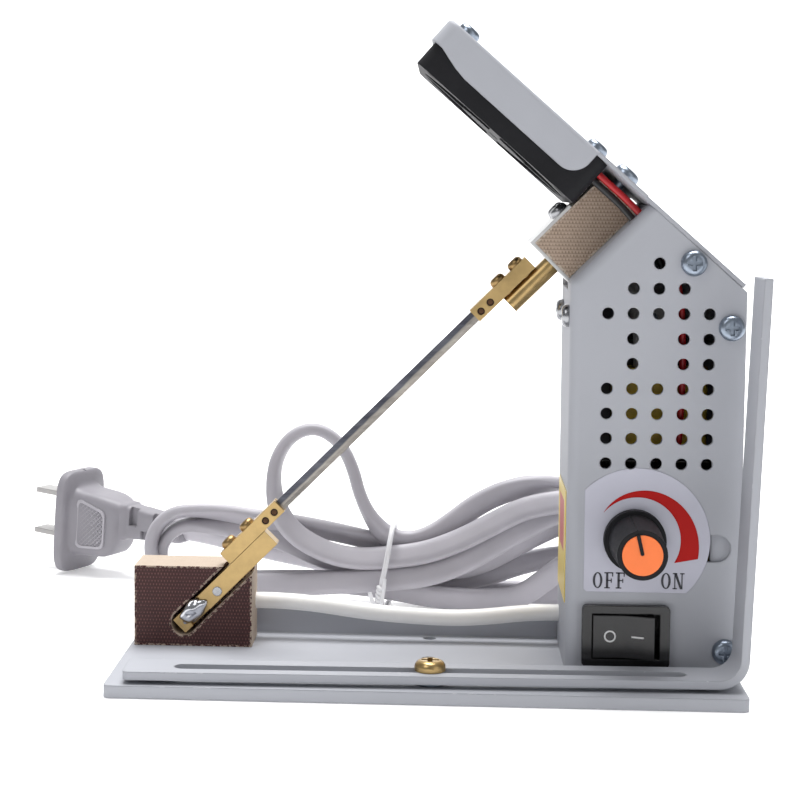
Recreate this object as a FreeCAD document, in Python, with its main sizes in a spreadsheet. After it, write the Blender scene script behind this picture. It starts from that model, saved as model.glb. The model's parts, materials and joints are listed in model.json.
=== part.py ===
import FreeCAD, Part
import math
import os

import Sketcher
from FreeCAD import Placement, Rotation, Vector

# Hot blade ribbon cutter.  A heated blade slopes at 45 degrees from an insulating block on the
# base plate up to a sheet metal housing, which holds the transformer and the heat control, with
# a fan on top.  An adjustable stop slides along the front of the base plate.
#
# Bench coordinates: x from the left end of the base plate, y from its front edge, z from the
# table, in millimetres.  Every piece is placed with the model's origin taken off.

doc = FreeCAD.newDocument("ribbon_cutter")
sheet = doc.addObject("Spreadsheet::Sheet", "Dims")
nodes = []
TINY = 0.01


# ---------------------------------------------------------------- sizes and their expressions

class Size:
    """A number together with the spreadsheet expression that gives it."""

    def __init__(self, value, text=None):
        self.value = float(value)
        self.text = text if text else f"({self.value:.9g})"

    def combine(self, other, sign, value):
        return Size(value, f"({self.text} {sign} {other.text})")

    def __add__(self, other):
        other = as_size(other)
        return self.combine(other, "+", self.value + other.value)

    def __sub__(self, other):
        other = as_size(other)
        return self.combine(other, "-", self.value - other.value)

    def __mul__(self, other):
        other = as_size(other)
        return self.combine(other, "*", self.value * other.value)

    def __truediv__(self, other):
        other = as_size(other)
        return self.combine(other, "/", self.value / other.value)

    def __radd__(self, other):
        return as_size(other) + self

    def __rsub__(self, other):
        return as_size(other) - self

    def __neg__(self):
        return as_size(0) - self


def as_size(number):
    return number if isinstance(number, Size) else Size(number)


def cell(name, value):
    """Adds one named size to the spreadsheet."""
    cell.row += 1
    sheet.set(f"A{cell.row}", name)
    sheet.set(f"B{cell.row}", str(value))
    sheet.setAlias(f"B{cell.row}", name)
    return Size(value, f"Dims.{name}")


cell.row = 0


def span(name, across, deep, up):
    """Six faces of a box; a face given as a plain number gets a cell of its own."""
    words = (("left", "right"), ("front", "back"), ("low", "high"))
    return [tuple(face if isinstance(face, Size) else cell(f"{name}_{word}", face)
                  for face, word in zip(pair, names))
            for pair, names in zip((across, deep, up), words)]


def cosine(angle):
    return Size(math.cos(math.radians(angle.value)), f"cos({angle.text} * 1 deg)")


def sine(angle):
    return Size(math.sin(math.radians(angle.value)), f"sin({angle.text} * 1 deg)")


origin_x = cell("origin_x", 76.91)
origin_y = cell("origin_y", 35.6)


class Frame:
    """Axes a and b in the upright plane, turned about Y from X and Z."""

    def __init__(self, x, z, angle):
        self.x, self.z = as_size(x), as_size(z)
        self.angle = as_size(angle)
        self.cos, self.sin = cosine(self.angle), sine(self.angle)

    def spot(self, a, y, b):
        a, y, b = as_size(a), as_size(y), as_size(b)
        return (self.x + a * self.cos + b * self.sin - origin_x, y - origin_y,
                self.z - a * self.sin + b * self.cos)

    def point(self, a, y, b):
        return Vector(*[part.value for part in self.spot(a, y, b)])

    def bench(self, a, y, b):
        """The same place in bench coordinates, as plain numbers."""
        return tuple(self.point(a, y, b) + Vector(origin_x.value, origin_y.value, 0))

    def back(self, place):
        """Axes a and b of a bench place."""
        x, z = place.x - self.x.value, place.z - self.z.value
        return (x * self.cos.value - z * self.sin.value, x * self.sin.value + z * self.cos.value)


# ---------------------------------------------------------------- shapes

def put(item, frame, a, y, b, spin=Rotation()):
    """Places an object, with its position bound to the sheet."""
    spot = frame.spot(a, y, b)
    turn = Rotation(Vector(0, 1, 0), frame.angle.value)
    item.Placement = Placement(Vector(*[part.value for part in spot]), turn * spin)
    for axis, part in zip("xyz", spot):
        item.setExpression(f".Placement.Base.{axis}", part.text)
    return item


def sized(kind, **sizes):
    item = doc.addObject(kind, kind.split("::")[1])
    for name, amount in sizes.items():
        item.setExpression(name, as_size(amount).text)
    return item


def box(frame, limits):
    (left, right), (front, back), (low, high) = limits
    item = sized("Part::Box", Length=as_size(right) - left, Width=as_size(back) - front,
                 Height=as_size(high) - low)
    return put(item, frame, left, front, low)


ALONG = (Rotation(Vector(0, 1, 0), 90), Rotation(Vector(1, 0, 0), -90), Rotation())


def rod(frame, a, y, b, radius, far_radius=None):
    """A cylinder, or a cone, along the axis whose place is given as a pair."""
    places = [a, y, b]
    axis = next(index for index, place in enumerate(places) if isinstance(place, tuple))
    near, far = places[axis]
    places[axis] = near
    if far_radius is None:
        item = sized("Part::Cylinder", Radius=radius, Height=as_size(far) - near)
    else:
        item = sized("Part::Cone", Radius1=radius, Radius2=far_radius, Height=as_size(far) - near)
    return put(item, frame, *places, spin=ALONG[axis])


def join(*parts):
    item = doc.addObject("Part::MultiFuse", "Join")
    item.Shapes = list(parts)
    return item


def cut(base, *tools):
    item = doc.addObject("Part::Cut", "Cut")
    item.Base = base
    item.Tool = tools[0] if len(tools) == 1 else join(*tools)
    return item


def common(*parts):
    item = doc.addObject("Part::MultiCommon", "Common")
    item.Shapes = list(parts)
    return item


def group(*parts):
    item = doc.addObject("Part::Compound", "Group")
    item.Links = list(parts)
    return item


def soften(base, radius, keep):
    """Rounds the edges of a shape whose middles pass the test keep."""
    doc.recompute()
    item = doc.addObject("Part::Fillet", "Round")
    item.Base = base
    item.Edges = [(number, as_size(radius).value, as_size(radius).value)
                  for number, edge in enumerate(base.Shape.Edges, 1)
                  if keep(middle(edge) + Vector(origin_x.value, origin_y.value, 0))]
    return item


def middle(edge):
    return edge.valueAt((edge.FirstParameter + edge.LastParameter) / 2)


def slot(frame, a, y, b, radius):
    """A round-ended slot along a, sunk along whichever of y and b is a pair."""
    near, far = a
    ends = [rod(frame, end, y, b, radius) for end in a]
    depth, height = (y, (b - radius, b + radius)) if isinstance(y, tuple) \
        else ((y - radius, y + radius), b)
    return join(box(frame, ((near, far), depth, height)), *ends)


def prism(frame, outline, depth, plane="XZ_Plane", rounds=()):
    """A padded outline: on XZ it is (a, b) along y, on YZ (y, b) along a, on XY (a, y) up b."""
    body = doc.addObject("PartDesign::Body", "Body")
    sketch = body.newObject("Sketcher::SketchObject", "Outline")
    origin_plane = next(item for item in body.Origin.OriginFeatures if item.Role == plane)
    sketch.AttachmentSupport = [(origin_plane, "")]
    sketch.MapMode = "FlatFace"
    corners = [tuple(as_size(part) for part in corner) for corner in outline]
    count = len(corners)
    for index, (start, end) in enumerate(zip(corners, corners[1:] + corners[:1])):
        sketch.addGeometry(Part.LineSegment(Vector(start[0].value, start[1].value, 0),
                                            Vector(end[0].value, end[1].value, 0)))
    for index in range(count):
        sketch.addConstraint(Sketcher.Constraint("Coincident", index, 2, (index + 1) % count, 1))
    for index, corner in enumerate(corners):
        for kind, part in zip(("DistanceX", "DistanceY"), corner):
            number = sketch.addConstraint(
                Sketcher.Constraint(kind, -1, 1, index, 1, part.value))
            sketch.setExpression(f"Constraints[{number}]", part.text)
    near, far = (as_size(end) for end in depth)
    pad = body.newObject("PartDesign::Pad", "Pad")
    pad.Profile = sketch
    pad.setExpression("Length", (far - near).text)
    pad.Reversed = plane == "XZ_Plane"
    place = {"XZ_Plane": (0, near, 0), "YZ_Plane": (near, 0, 0), "XY_Plane": (0, 0, near)}
    put(body, frame, *place[plane])
    base = pad
    for radius, keep in rounds:
        doc.recompute()
        names = [f"Edge{number}" for number, edge in enumerate(base.Shape.Edges, 1)
                 if keep(middle(edge) + Vector(*[as_size(part).value for part in place[plane]]))]
        bend = body.newObject("PartDesign::Fillet", "Bend")
        bend.Base = (base, names)
        bend.setExpression("Radius", as_size(radius).text)
        base = bend
    body.Tip = base
    return body


def near_to(value, limit):
    return abs(value - as_size(limit).value) < TINY


FACING = {"up": Rotation(), "front": Rotation(Vector(1, 0, 0), 90),
          "back": Rotation(Vector(1, 0, 0), -90), "left": Rotation(Vector(0, 1, 0), -90)}


def screw_sizes(name, head, rise, shank, length):
    return {"head": cell(f"{name}_head", head), "rise": cell(f"{name}_rise", rise),
            "shank": cell(f"{name}_shank", shank), "length": cell(f"{name}_length", length)}


def screw(sizes, frame, a, y, b, facing):
    """A round-headed screw with a cross recess: its head starts at the given point."""
    head, rise, shank, length = (sizes[word] for word in ("head", "rise", "shank", "length"))
    top = sized("Part::Cylinder", Radius=head / 2, Height=rise)
    doc.recompute()
    dome = doc.addObject("Part::Fillet", "Dome")
    dome.Base = top
    edges = [number for number, edge in enumerate(top.Shape.Edges, 1)
             if near_to(middle(edge).z, rise) and len(edge.Vertexes) == 1]
    dome.Edges = [(number, rise.value * 0.7, rise.value * 0.7) for number in edges]
    shaft = sized("Part::Cylinder", Radius=shank / 2, Height=length)
    shaft.setExpression(".Placement.Base.z", (-length).text)
    arms = []
    for long, wide in ((0.56, 0.15), (0.15, 0.56)):
        arm = sized("Part::Box", Length=head * long, Width=head * wide, Height=rise)
        arm.setExpression(".Placement.Base.x", (head * (-long / 2)).text)
        arm.setExpression(".Placement.Base.y", (head * (-wide / 2)).text)
        arm.setExpression(".Placement.Base.z", (rise * 0.45).text)
        arms.append(arm)
    item = cut(join(dome, shaft), *arms)
    return put(item, frame, a, y, b, spin=FACING[facing])


def countersunk(sizes, frame, x, y, z):
    """A flat-headed screw driven up from below: its head's face is at z."""
    head, rise, shank, length = (sizes[word] for word in ("head", "rise", "shank", "length"))
    cone = rod(frame, x, y, (z, z + rise), head / 2, shank / 2)
    shaft = rod(frame, x, y, (z + rise, z + length), shank / 2)
    arms = [box(frame, ((x - head * long, x + head * long), (y - head * wide, y + head * wide),
                        (z - 1, z + rise * 0.5)))
            for long, wide in ((0.28, 0.075), (0.075, 0.28))]
    return cut(join(cone, shaft), *arms)


def tube(name, radius, route):
    """Straight runs joined by tangent arcs, each as large as its two runs allow."""
    points = [Vector(*point) - Vector(origin_x.value, origin_y.value, 0) for point in route]
    edges, radii, here = [], [], points[0]
    for before, corner, after in zip(points, points[1:], points[2:]):
        inward, outward = (corner - before), (after - corner)
        shorter = min(inward.Length, outward.Length)
        inward.normalize()
        outward.normalize()
        turn = math.acos(max(-1.0, min(1.0, inward.dot(outward))))
        reach = 0.45 * shorter
        radii.append(reach / math.tan(turn / 2))
        start, end = corner - inward * reach, corner + outward * reach
        chord_side = (outward - inward).normalize()
        to_centre = radii[-1] / math.cos(turn / 2)
        through = corner + chord_side * (to_centre - radii[-1])
        edges += [Part.LineSegment(here, start).toShape(), Part.Arc(start, through, end).toShape()]
        here = end
    edges.append(Part.LineSegment(here, points[-1]).toShape())
    path = Part.Wire(edges)
    first = (points[1] - points[0]).normalize()
    ring = Part.Wire([Part.Circle(points[0], first, radius.value).toShape()])
    solid = path.makePipeShell([ring], True, False)
    expected = math.pi * radius.value ** 2 * path.Length
    print(f"{name}: length {path.Length:.1f}, radii {[round(one, 1) for one in radii]}, "
          f"volume {solid.Volume:.1f} of {expected:.1f}")
    item = doc.addObject("Part::Feature", "Tube")
    item.Shape = solid
    item.Placement = Placement()
    return item


def node(name, item):
    item.Label = name
    nodes.append(item)
    return item


# ---------------------------------------------------------------- shared sizes

blade_angle = cell("blade_angle", 45)
roof_angle = cell("roof_angle", 41.5)
peak_x = cell("peak_x", 127.5)
peak_z = cell("peak_z", 116)
LEVEL = Frame(0, 0, 0)
SLOPE = Frame(0, 0, -blade_angle)
ROOF = Frame(peak_x, peak_z, roof_angle)

base_thick = cell("base_thick", 3)
base_long = cell("base_long", 150)
base_deep = cell("base_deep", 60)
fit = cell("running_fit", 0.05)
stop_screw_x = cell("stop_screw_x", 76.5)
stop_screw_y = cell("stop_screw_y", 9)
face_y = cell("housing_face", 22)
back_y = cell("housing_rear", 56.7)
wall = cell("housing_sheet", 1.2)
wall_left = cell("housing_left", 109)
wall_right = cell("housing_right", 150.3)
eave_left = cell("housing_eave_left", 97.5)
eave_right = cell("housing_eave_right", 95.4)
dial_x = cell("dial_x", 125)
dial_z = cell("dial_z", 35.8)
switch_x = cell("switch_x", 123.3)
switch_z = cell("switch_z", 12.4)
blade_y = cell("blade_y", 44)
bar_v = cell("bar_v", -3.3)
lead_y = cell("lead_y", 52)
lead_z = cell("lead_z", 12.7)
lead_radius = cell("lead_radius", 2.1)
lead_u = cell("upper_lead_u", 158)
stub_x = cell("lead_stub_x", 17)
stub_radius = cell("lead_stub_radius", 1.2)
bar_back = cell("bar_back", 46.5)
conductor_radius = cell("upper_conductor", 1.2)
core_x = cell("core_x", 131.5)
core_z = cell("core_z", 67)
gland_x = cell("gland_x", 135)
gland_z = cell("gland_z", 20)
gland_radius = cell("gland_bore", 8) / 2
bushing_radius = cell("bushing", 6) / 2
switch_half_wide = cell("switch_body_wide", 19) / 2
switch_half_high = cell("switch_body_high", 13) / 2
wire_y = cell("wire_y", 30.5)
wire_n = cell("wire_n", -3.4)
vent_pitch = cell("vent_pitch", 6)
vent_x = cell("vent_first_x", 117.9)
vent_z = cell("vent_first_z", 102.1)
vent_radius = cell("vent_hole", 2.8) / 2
sink = cell("screw_sink", 0.2)
beyond = cell("cut_beyond", 1)
fan_left = cell("fan_left", -63.8)
fan_wide = cell("fan_wide", 50)
fan_front = cell("fan_front", 19.9)
fan_deep = cell("fan_thick", 12)
fan_right = fan_left + fan_wide
fan_s = fan_left + fan_wide / 2
fan_y = fan_front + fan_wide / 2

base_screw = screw_sizes("base_screw", 6, 1.5, 3, 8.5)
floor_screw = screw_sizes("floor_screw", 6, 1.5, 3, 5.5)
bracket_screw = screw_sizes("bracket_screw", 4.8, 1.9, 2.5, 6)
roof_screw = screw_sizes("roof_screw", 6.5, 2.2, 3, 12)
core_screw = screw_sizes("core_screw", 5.4, 1.8, 3, 3.2)
post_screw = screw_sizes("post_screw", 5, 1.6, 2.5, 6)
fan_screw = screw_sizes("fan_screw", 5.6, 1.9, 2.9, 11)
side_screw = screw_sizes("side_screw", 5.4, 1.8, 3, 3.4)
front_screw = screw_sizes("front_screw", 6.2, 2.1, 3, 6)
block_screw_spots = ((cell("block_screw_near", 7), cell("block_screw_y", 50.5)),
                     (cell("block_screw_far", 26), cell("block_screw_y_far", 50.4)))
floor_screw_rows = (cell("floor_screw_front", 28), cell("floor_screw_rear", 51))
floor_screw_columns = (cell("floor_screw_left", 115), cell("floor_screw_right", 143))
housing_screw_spots = tuple((x, y) for y in floor_screw_rows for x in floor_screw_columns)
bracket_screw_u = cell("bracket_screw_u", 156.2)
bracket_screw_spots = [(bracket_screw_u, cell(f"bracket_screw_{word}", y))
                       for word, y in (("near", 39.5), ("far", 51))]
side_screw_z = cell("side_screw_z", 89)
side_screw_spots = [(cell(f"side_screw_{word}", y), side_screw_z)
                    for word, y in (("near", 28.5), ("far", 51.5))]
roof_screw_s = cell("roof_screw_s", -7.9)
roof_screw_y = cell("roof_screw_y", 38.6)
front_screw_spots = [(cell(f"front_screw_x_{word}", x), cell(f"front_screw_z_{word}", z))
                     for word, x, z in (("top", 137.9, 102.2), ("side", 147.1, 86.9),
                                        ("foot", 147.1, 8.8))]
core_screw_heights = (cell("core_screw_low", 47), cell("core_screw_high", 87))
post_columns = (cell("post_left", 115), cell("post_right", 144))
post_rows = (cell("post_low", 25), cell("post_high", 47))
post_spots = [(x, z) for x in post_columns for z in post_rows]
fan_screw_inset = cell("fan_screw_inset", 4.5)
fan_screw_spots = [(s, y) for s in (fan_left + fan_screw_inset, fan_right - fan_screw_inset)
                   for y in (fan_front + fan_screw_inset, fan_front + fan_wide - fan_screw_inset)]


# ---------------------------------------------------------------- base plate and stop

def make_base():
    lip_inner = cell("lip_inner", 57)
    lip_top = cell("lip_top", 9.5)
    bend_inner = cell("lip_bend_inner", 0.3)
    bend_outer = cell("lip_bend_outer", 4.5)
    corner = cell("base_corner", 1.6)
    outline = [(0, 0), (base_deep, 0), (base_deep, lip_top), (lip_inner, lip_top),
               (lip_inner, base_thick), (0, base_thick)]
    sheet_bends = [
        (bend_outer, lambda p: near_to(p.y, base_deep) and near_to(p.z, 0)),
        (bend_inner, lambda p: near_to(p.y, lip_inner) and near_to(p.z, base_thick)),
        (corner, lambda p: near_to(p.y, 0) and near_to(p.z, base_thick / 2))]
    plate = prism(LEVEL, outline, (0, base_long), "YZ_Plane", sheet_bends)
    through = (-beyond, base_thick + beyond)
    tapped = cell("tapped_hole", 3.3)
    spare_x = cell("spare_hole_x", 76)
    spares = [rod(LEVEL, spare_x, cell(f"spare_hole_{word}", y), through, tapped / 2)
              for word, y in (("middle", 33), ("rear", 54.4))]
    stop_hole = rod(LEVEL, stop_screw_x, stop_screw_y, through, cell("stop_hole", 4) / 2)
    sinks = []
    for x, y in block_screw_spots + housing_screw_spots:
        cone_top = sink + base_screw["rise"]
        sinks.append(rod(LEVEL, x, y, (sink, cone_top), base_screw["head"] / 2,
                         base_screw["shank"] / 2))
        sinks.append(rod(LEVEL, x, y, (-beyond, sink), base_screw["head"] / 2))
        sinks.append(rod(LEVEL, x, y, (cone_top - 0.1, base_thick + beyond),
                         base_screw["shank"] / 2))
    node("base_plate", cut(plate, stop_hole, *spares, *sinks))


def make_stop():
    low = cell("stop_low", 4)
    thick = cell("stop_sheet", 2)
    left = cell("stop_left", 4.2)
    top = cell("stop_top", 99.4)
    foot_x = cell("stop_corner_x", 150.1)
    top_x = cell("stop_top_x", 153.7)
    front = cell("stop_front", 3)
    back = cell("stop_back", 16)
    inner = cell("stop_bend_inner", 5)
    outer = cell("stop_bend_outer", 7)
    yaw = cell("stop_yaw", 1.3)
    high = low + thick
    inner_x = foot_x - thick + cell("stop_lean_gain", 0.08)
    outline = [(left, low), (foot_x, low), (top_x, top), (top_x - thick, top),
               (inner_x, high), (left, high)]
    bends = [
        (outer, lambda p: near_to(p.x, foot_x) and near_to(p.z, low)),
        (inner, lambda p: near_to(p.x, inner_x) and near_to(p.z, high)),
        (cell("stop_corner", 1.5), lambda p: near_to(p.x, left) and near_to(p.z, low + thick / 2))]
    bar = prism(LEVEL, outline, (front, back), "XZ_Plane", bends)
    slot_radius = cell("stop_slot", 4.4) / 2
    gap = slot(LEVEL, (cell("slot_left", 15.9) + slot_radius, cell("slot_right", 136.6) - slot_radius),
               stop_screw_y, (low - beyond, high + beyond), slot_radius)
    plate = cut(bar, gap)
    pivot = LEVEL.point(stop_screw_x, stop_screw_y, 0)
    plate.Placement = Placement(Vector(), Rotation(Vector(0, 0, 1), yaw.value), pivot)
    node("stop_plate", plate)
    washer = rod(LEVEL, stop_screw_x, stop_screw_y, (base_thick + fit, low - fit),
                 cell("stop_washer_across", 8) / 2)
    sizes = screw_sizes("stop_screw", 7.4, 2.5, 3.9, 5.8)
    bore = rod(LEVEL, stop_screw_x, stop_screw_y, (base_thick, low), sizes["shank"] / 2)
    node("stop_washer", cut(washer, bore))
    node("stop_screw", screw(sizes, LEVEL, stop_screw_x, stop_screw_y, high + fit * 2, "up"))


# ---------------------------------------------------------------- blade and its holders

def make_lower_holder():
    block = span("block", (1, 31), (40.5, 54.5), (base_thick, 23.5))
    front = block[1][0]
    solid = box(LEVEL, block)
    slot_end = cell("block_slot_end", 16)
    slot_radius = cell("block_slot", 6.4) / 2
    slot_back = cell("block_slot_back", 47.5)
    groove = join(rod(SLOPE, slot_end, (front - 1, slot_back), bar_v, slot_radius),
                  box(SLOPE, ((slot_end, 60), (front - 1, slot_back),
                              (bar_v - slot_radius, bar_v + slot_radius))))
    lead_bore = rod(LEVEL, (stub_x - 2, block[0][1] + 1), lead_y, lead_z, lead_radius)
    stub_bore = rod(LEVEL, stub_x, (slot_back - 1, lead_y), lead_z, stub_radius)
    holes = [rod(LEVEL, x, y, (base_thick - beyond, sink + base_screw["length"]),
                 base_screw["shank"] / 2) for x, y in block_screw_spots]
    node("lower_block", cut(solid, groove, lead_bore, stub_bore, *holes))

    sizes, spots, top = make_clamp("lower", (34.9, 54.4), (47.5, 56), (38.2, 44.6), (49.2, 52.3))
    clamp_bores = [rod(SLOPE, u, blade_y, (top - sizes["length"], top), sizes["shank"] / 2)
                   for u in spots]
    bar = span("bar", (14.2, 47.2), (41.5, bar_back), (-5.6, -1.0))
    notch = span("bar_notch", (17, 23), (front - 1, 43), (-7, 0))
    pin_u = cell("bar_pin_u", 27.6)
    pin_v = cell("bar_pin_v", -3.6)
    pin_radius = cell("bar_pin", 2.4) / 2
    pin = (bar[1][0] - 0.1, bar[1][0] + 3)
    pin_bore = rod(SLOPE, pin_u, (bar[1][0] - 1, pin[1]), pin_v, pin_radius)
    node("lower_electrode_bar", cut(box(SLOPE, bar), box(SLOPE, notch), pin_bore, *clamp_bores))
    node("bar_pin", rod(SLOPE, pin_u, pin, pin_v, pin_radius))
    pool = box(SLOPE, span("solder", (17.6, 22.4), (41.7, notch[1][1]), (-5.2, -1.4)))
    node("solder_joint", soften(pool, 0.8, lambda p: p.y < 42.4))

    node("lower_block_screws", group(*[countersunk(base_screw, LEVEL, x, y, sink)
                                       for x, y in block_screw_spots]))


def make_clamp(name, reach, mouth, screws, dimples):
    """A brass clamp on the blade's line, slit at its blade end, with two screws on top.

    Returns the screws' sizes, their places along the blade and the clamp's top.
    """
    clamp = span(f"{name}_clamp", reach, (41.6, 46.4), (-0.95, 2.75))
    blade_slot = box(SLOPE, (tuple(cell(f"{name}_slit_{word}", edge)
                                   for word, edge in zip(("start", "end"), mouth)),
                             (43.5, 44.5), (-2, 4)))
    sizes = screw_sizes(f"{name}_clamp_screw", 4.2, 1.6, 2.2, 5.6)
    top = clamp[2][1]
    spots = [cell(f"{name}_clamp_screw_{word}", u) for word, u in zip(("near", "far"), screws)]
    bores = [rod(SLOPE, u, blade_y, (top - sizes["length"], top + 1), sizes["shank"] / 2)
             for u in spots]
    front = clamp[1][0]
    pits = [rod(SLOPE, cell(f"{name}_dimple_{word}", u), (front - 1, front + 0.5), 0.7,
                cell(f"{name}_dimple_size_{word}", 1.9) / 2)
            for word, u in zip(("near", "far"), dimples)]
    node(f"{name}_blade_clamp", cut(box(SLOPE, clamp), blade_slot, *pits, *bores))
    node(f"{name}_clamp_screws", group(*[screw(sizes, SLOPE, u, blade_y, top, "up")
                                         for u in spots]))
    return sizes, spots, top


def make_blade():
    spine = cell("blade_spine", 2.25)
    edge = cell("blade_edge", -0.75)
    bevel = cell("blade_bevel", 0.3)
    half = cell("blade_thick", 1) / 2
    outline = [(blade_y - half, spine), (blade_y - half, bevel), (blade_y, edge),
               (blade_y + half, bevel), (blade_y + half, spine)]
    ends = (cell("blade_start", 47.5), cell("blade_end", 130))
    node("blade", prism(SLOPE, outline, ends, "YZ_Plane"))


def make_upper_holder():
    sizes, spots, top = make_clamp("upper", (123.2, 142.4), (121, 130), (133.4, 139.4),
                                   (125.2, 128.4))
    rod_radius = cell("rod_across", 4.7) / 2
    rod_end = cell("rod_end", 160)
    bar = rod(SLOPE, (cell("rod_start", 131.4), rod_end), blade_y, bar_v, rod_radius)
    holes = [rod(SLOPE, u, blade_y, (top - sizes["length"], top), sizes["shank"] / 2)
             for u in spots]
    node("upper_rod", cut(bar, *holes, lead_end_bore(rod_radius)))

    block = span("upper_block", (146.5, 168.8), (35, 57), (-8.13, 3.9))
    bore = rod(SLOPE, (block[0][0] - 1, rod_end), blade_y, bar_v, rod_radius)
    holes = [rod(SLOPE, u, y, (block[2][1] - 8, block[2][1] + beyond), bracket_screw["shank"] / 2)
             for u, y in bracket_screw_spots]
    roof_hole = rod(ROOF, roof_screw_s, roof_screw_y, (-roof_screw["length"], 0),
                    roof_screw["shank"] / 2)
    node("upper_block", cut(box(SLOPE, block), bore, roof_hole, upper_lead_bore(), *holes))

    sheet_thick = cell("bracket_sheet", 0.8)
    end_face = block[0][0]
    top_face = block[2][1]
    leg_deep = (block[1][0], block[1][1] - 1)
    leg_end = box(SLOPE, ((end_face - sheet_thick, end_face), leg_deep,
                          (cell("bracket_foot", -10.2), top_face + sheet_thick)))
    leg_top = box(SLOPE, ((end_face - sheet_thick, cell("bracket_top_end", 159)), leg_deep,
                          (top_face, top_face + sheet_thick)))
    inside = wall_left + wall
    leg_wall = box(LEVEL, ((inside, inside + sheet_thick),
                           (cell("bracket_front", 25), cell("bracket_back", 55)),
                           (cell("bracket_low", 80), cell("bracket_high", 96.6))))
    rod_hole = rod(SLOPE, (end_face - 3, end_face + 0.5), blade_y, bar_v, rod_radius + 1)
    side_holes = [rod(LEVEL, (inside - 1, inside + 3), y, z, side_screw["shank"] / 2)
                  for y, z in side_screw_spots]
    screw_holes = [rod(SLOPE, u, y, (top_face - beyond, top_face + beyond),
                       bracket_screw["shank"] / 2) for u, y in bracket_screw_spots]
    node("upper_block_bracket",
         cut(join(leg_end, leg_top, leg_wall), rod_hole, *side_holes, *screw_holes))
    node("bracket_screws", group(*[screw(bracket_screw, SLOPE, u, y, top_face + sheet_thick, "up")
                                   for u, y in bracket_screw_spots]))


def lead_end_bore(rod_radius):
    """The rod's end is drilled across for the upper lead's conductor."""
    return rod(SLOPE, lead_u, blade_y, (bar_v - rod_radius, bar_v), conductor_radius)


def upper_lead_bore():
    return rod(SLOPE, lead_u, blade_y, (-10, bar_v), lead_radius)


# ---------------------------------------------------------------- housing

vent_rows = ("  o  ", " ooo ", "ooooo", " o oo", " o oo", "ooooo", "ooooo", "ooooo", "ooooo")
right_lean = cell("housing_right_lean", 0.3)
bend = cell("housing_bend", 2.6)
label_radius = cell("label_radius", 17.4)
label_x = cell("label_x", 125.7)
label_z = cell("label_z", 35.6)


def vents(rows):
    """The round vent holes of the given rows of the pattern."""
    return join(*[rod(LEVEL, vent_x + vent_pitch * column, (face_y - beyond, face_y + wall + beyond),
                      vent_z - vent_pitch * row, vent_radius)
                  for row in rows
                  for column, mark in enumerate(vent_rows[row]) if mark == "o"])


def right_slope_height(x, inset):
    """Height of the right slope's plane, moved in by inset, at x."""
    return peak_z - (as_size(x) - peak_x) * sine(roof_angle) / cosine(roof_angle) \
        - as_size(inset) / cosine(roof_angle)


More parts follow.
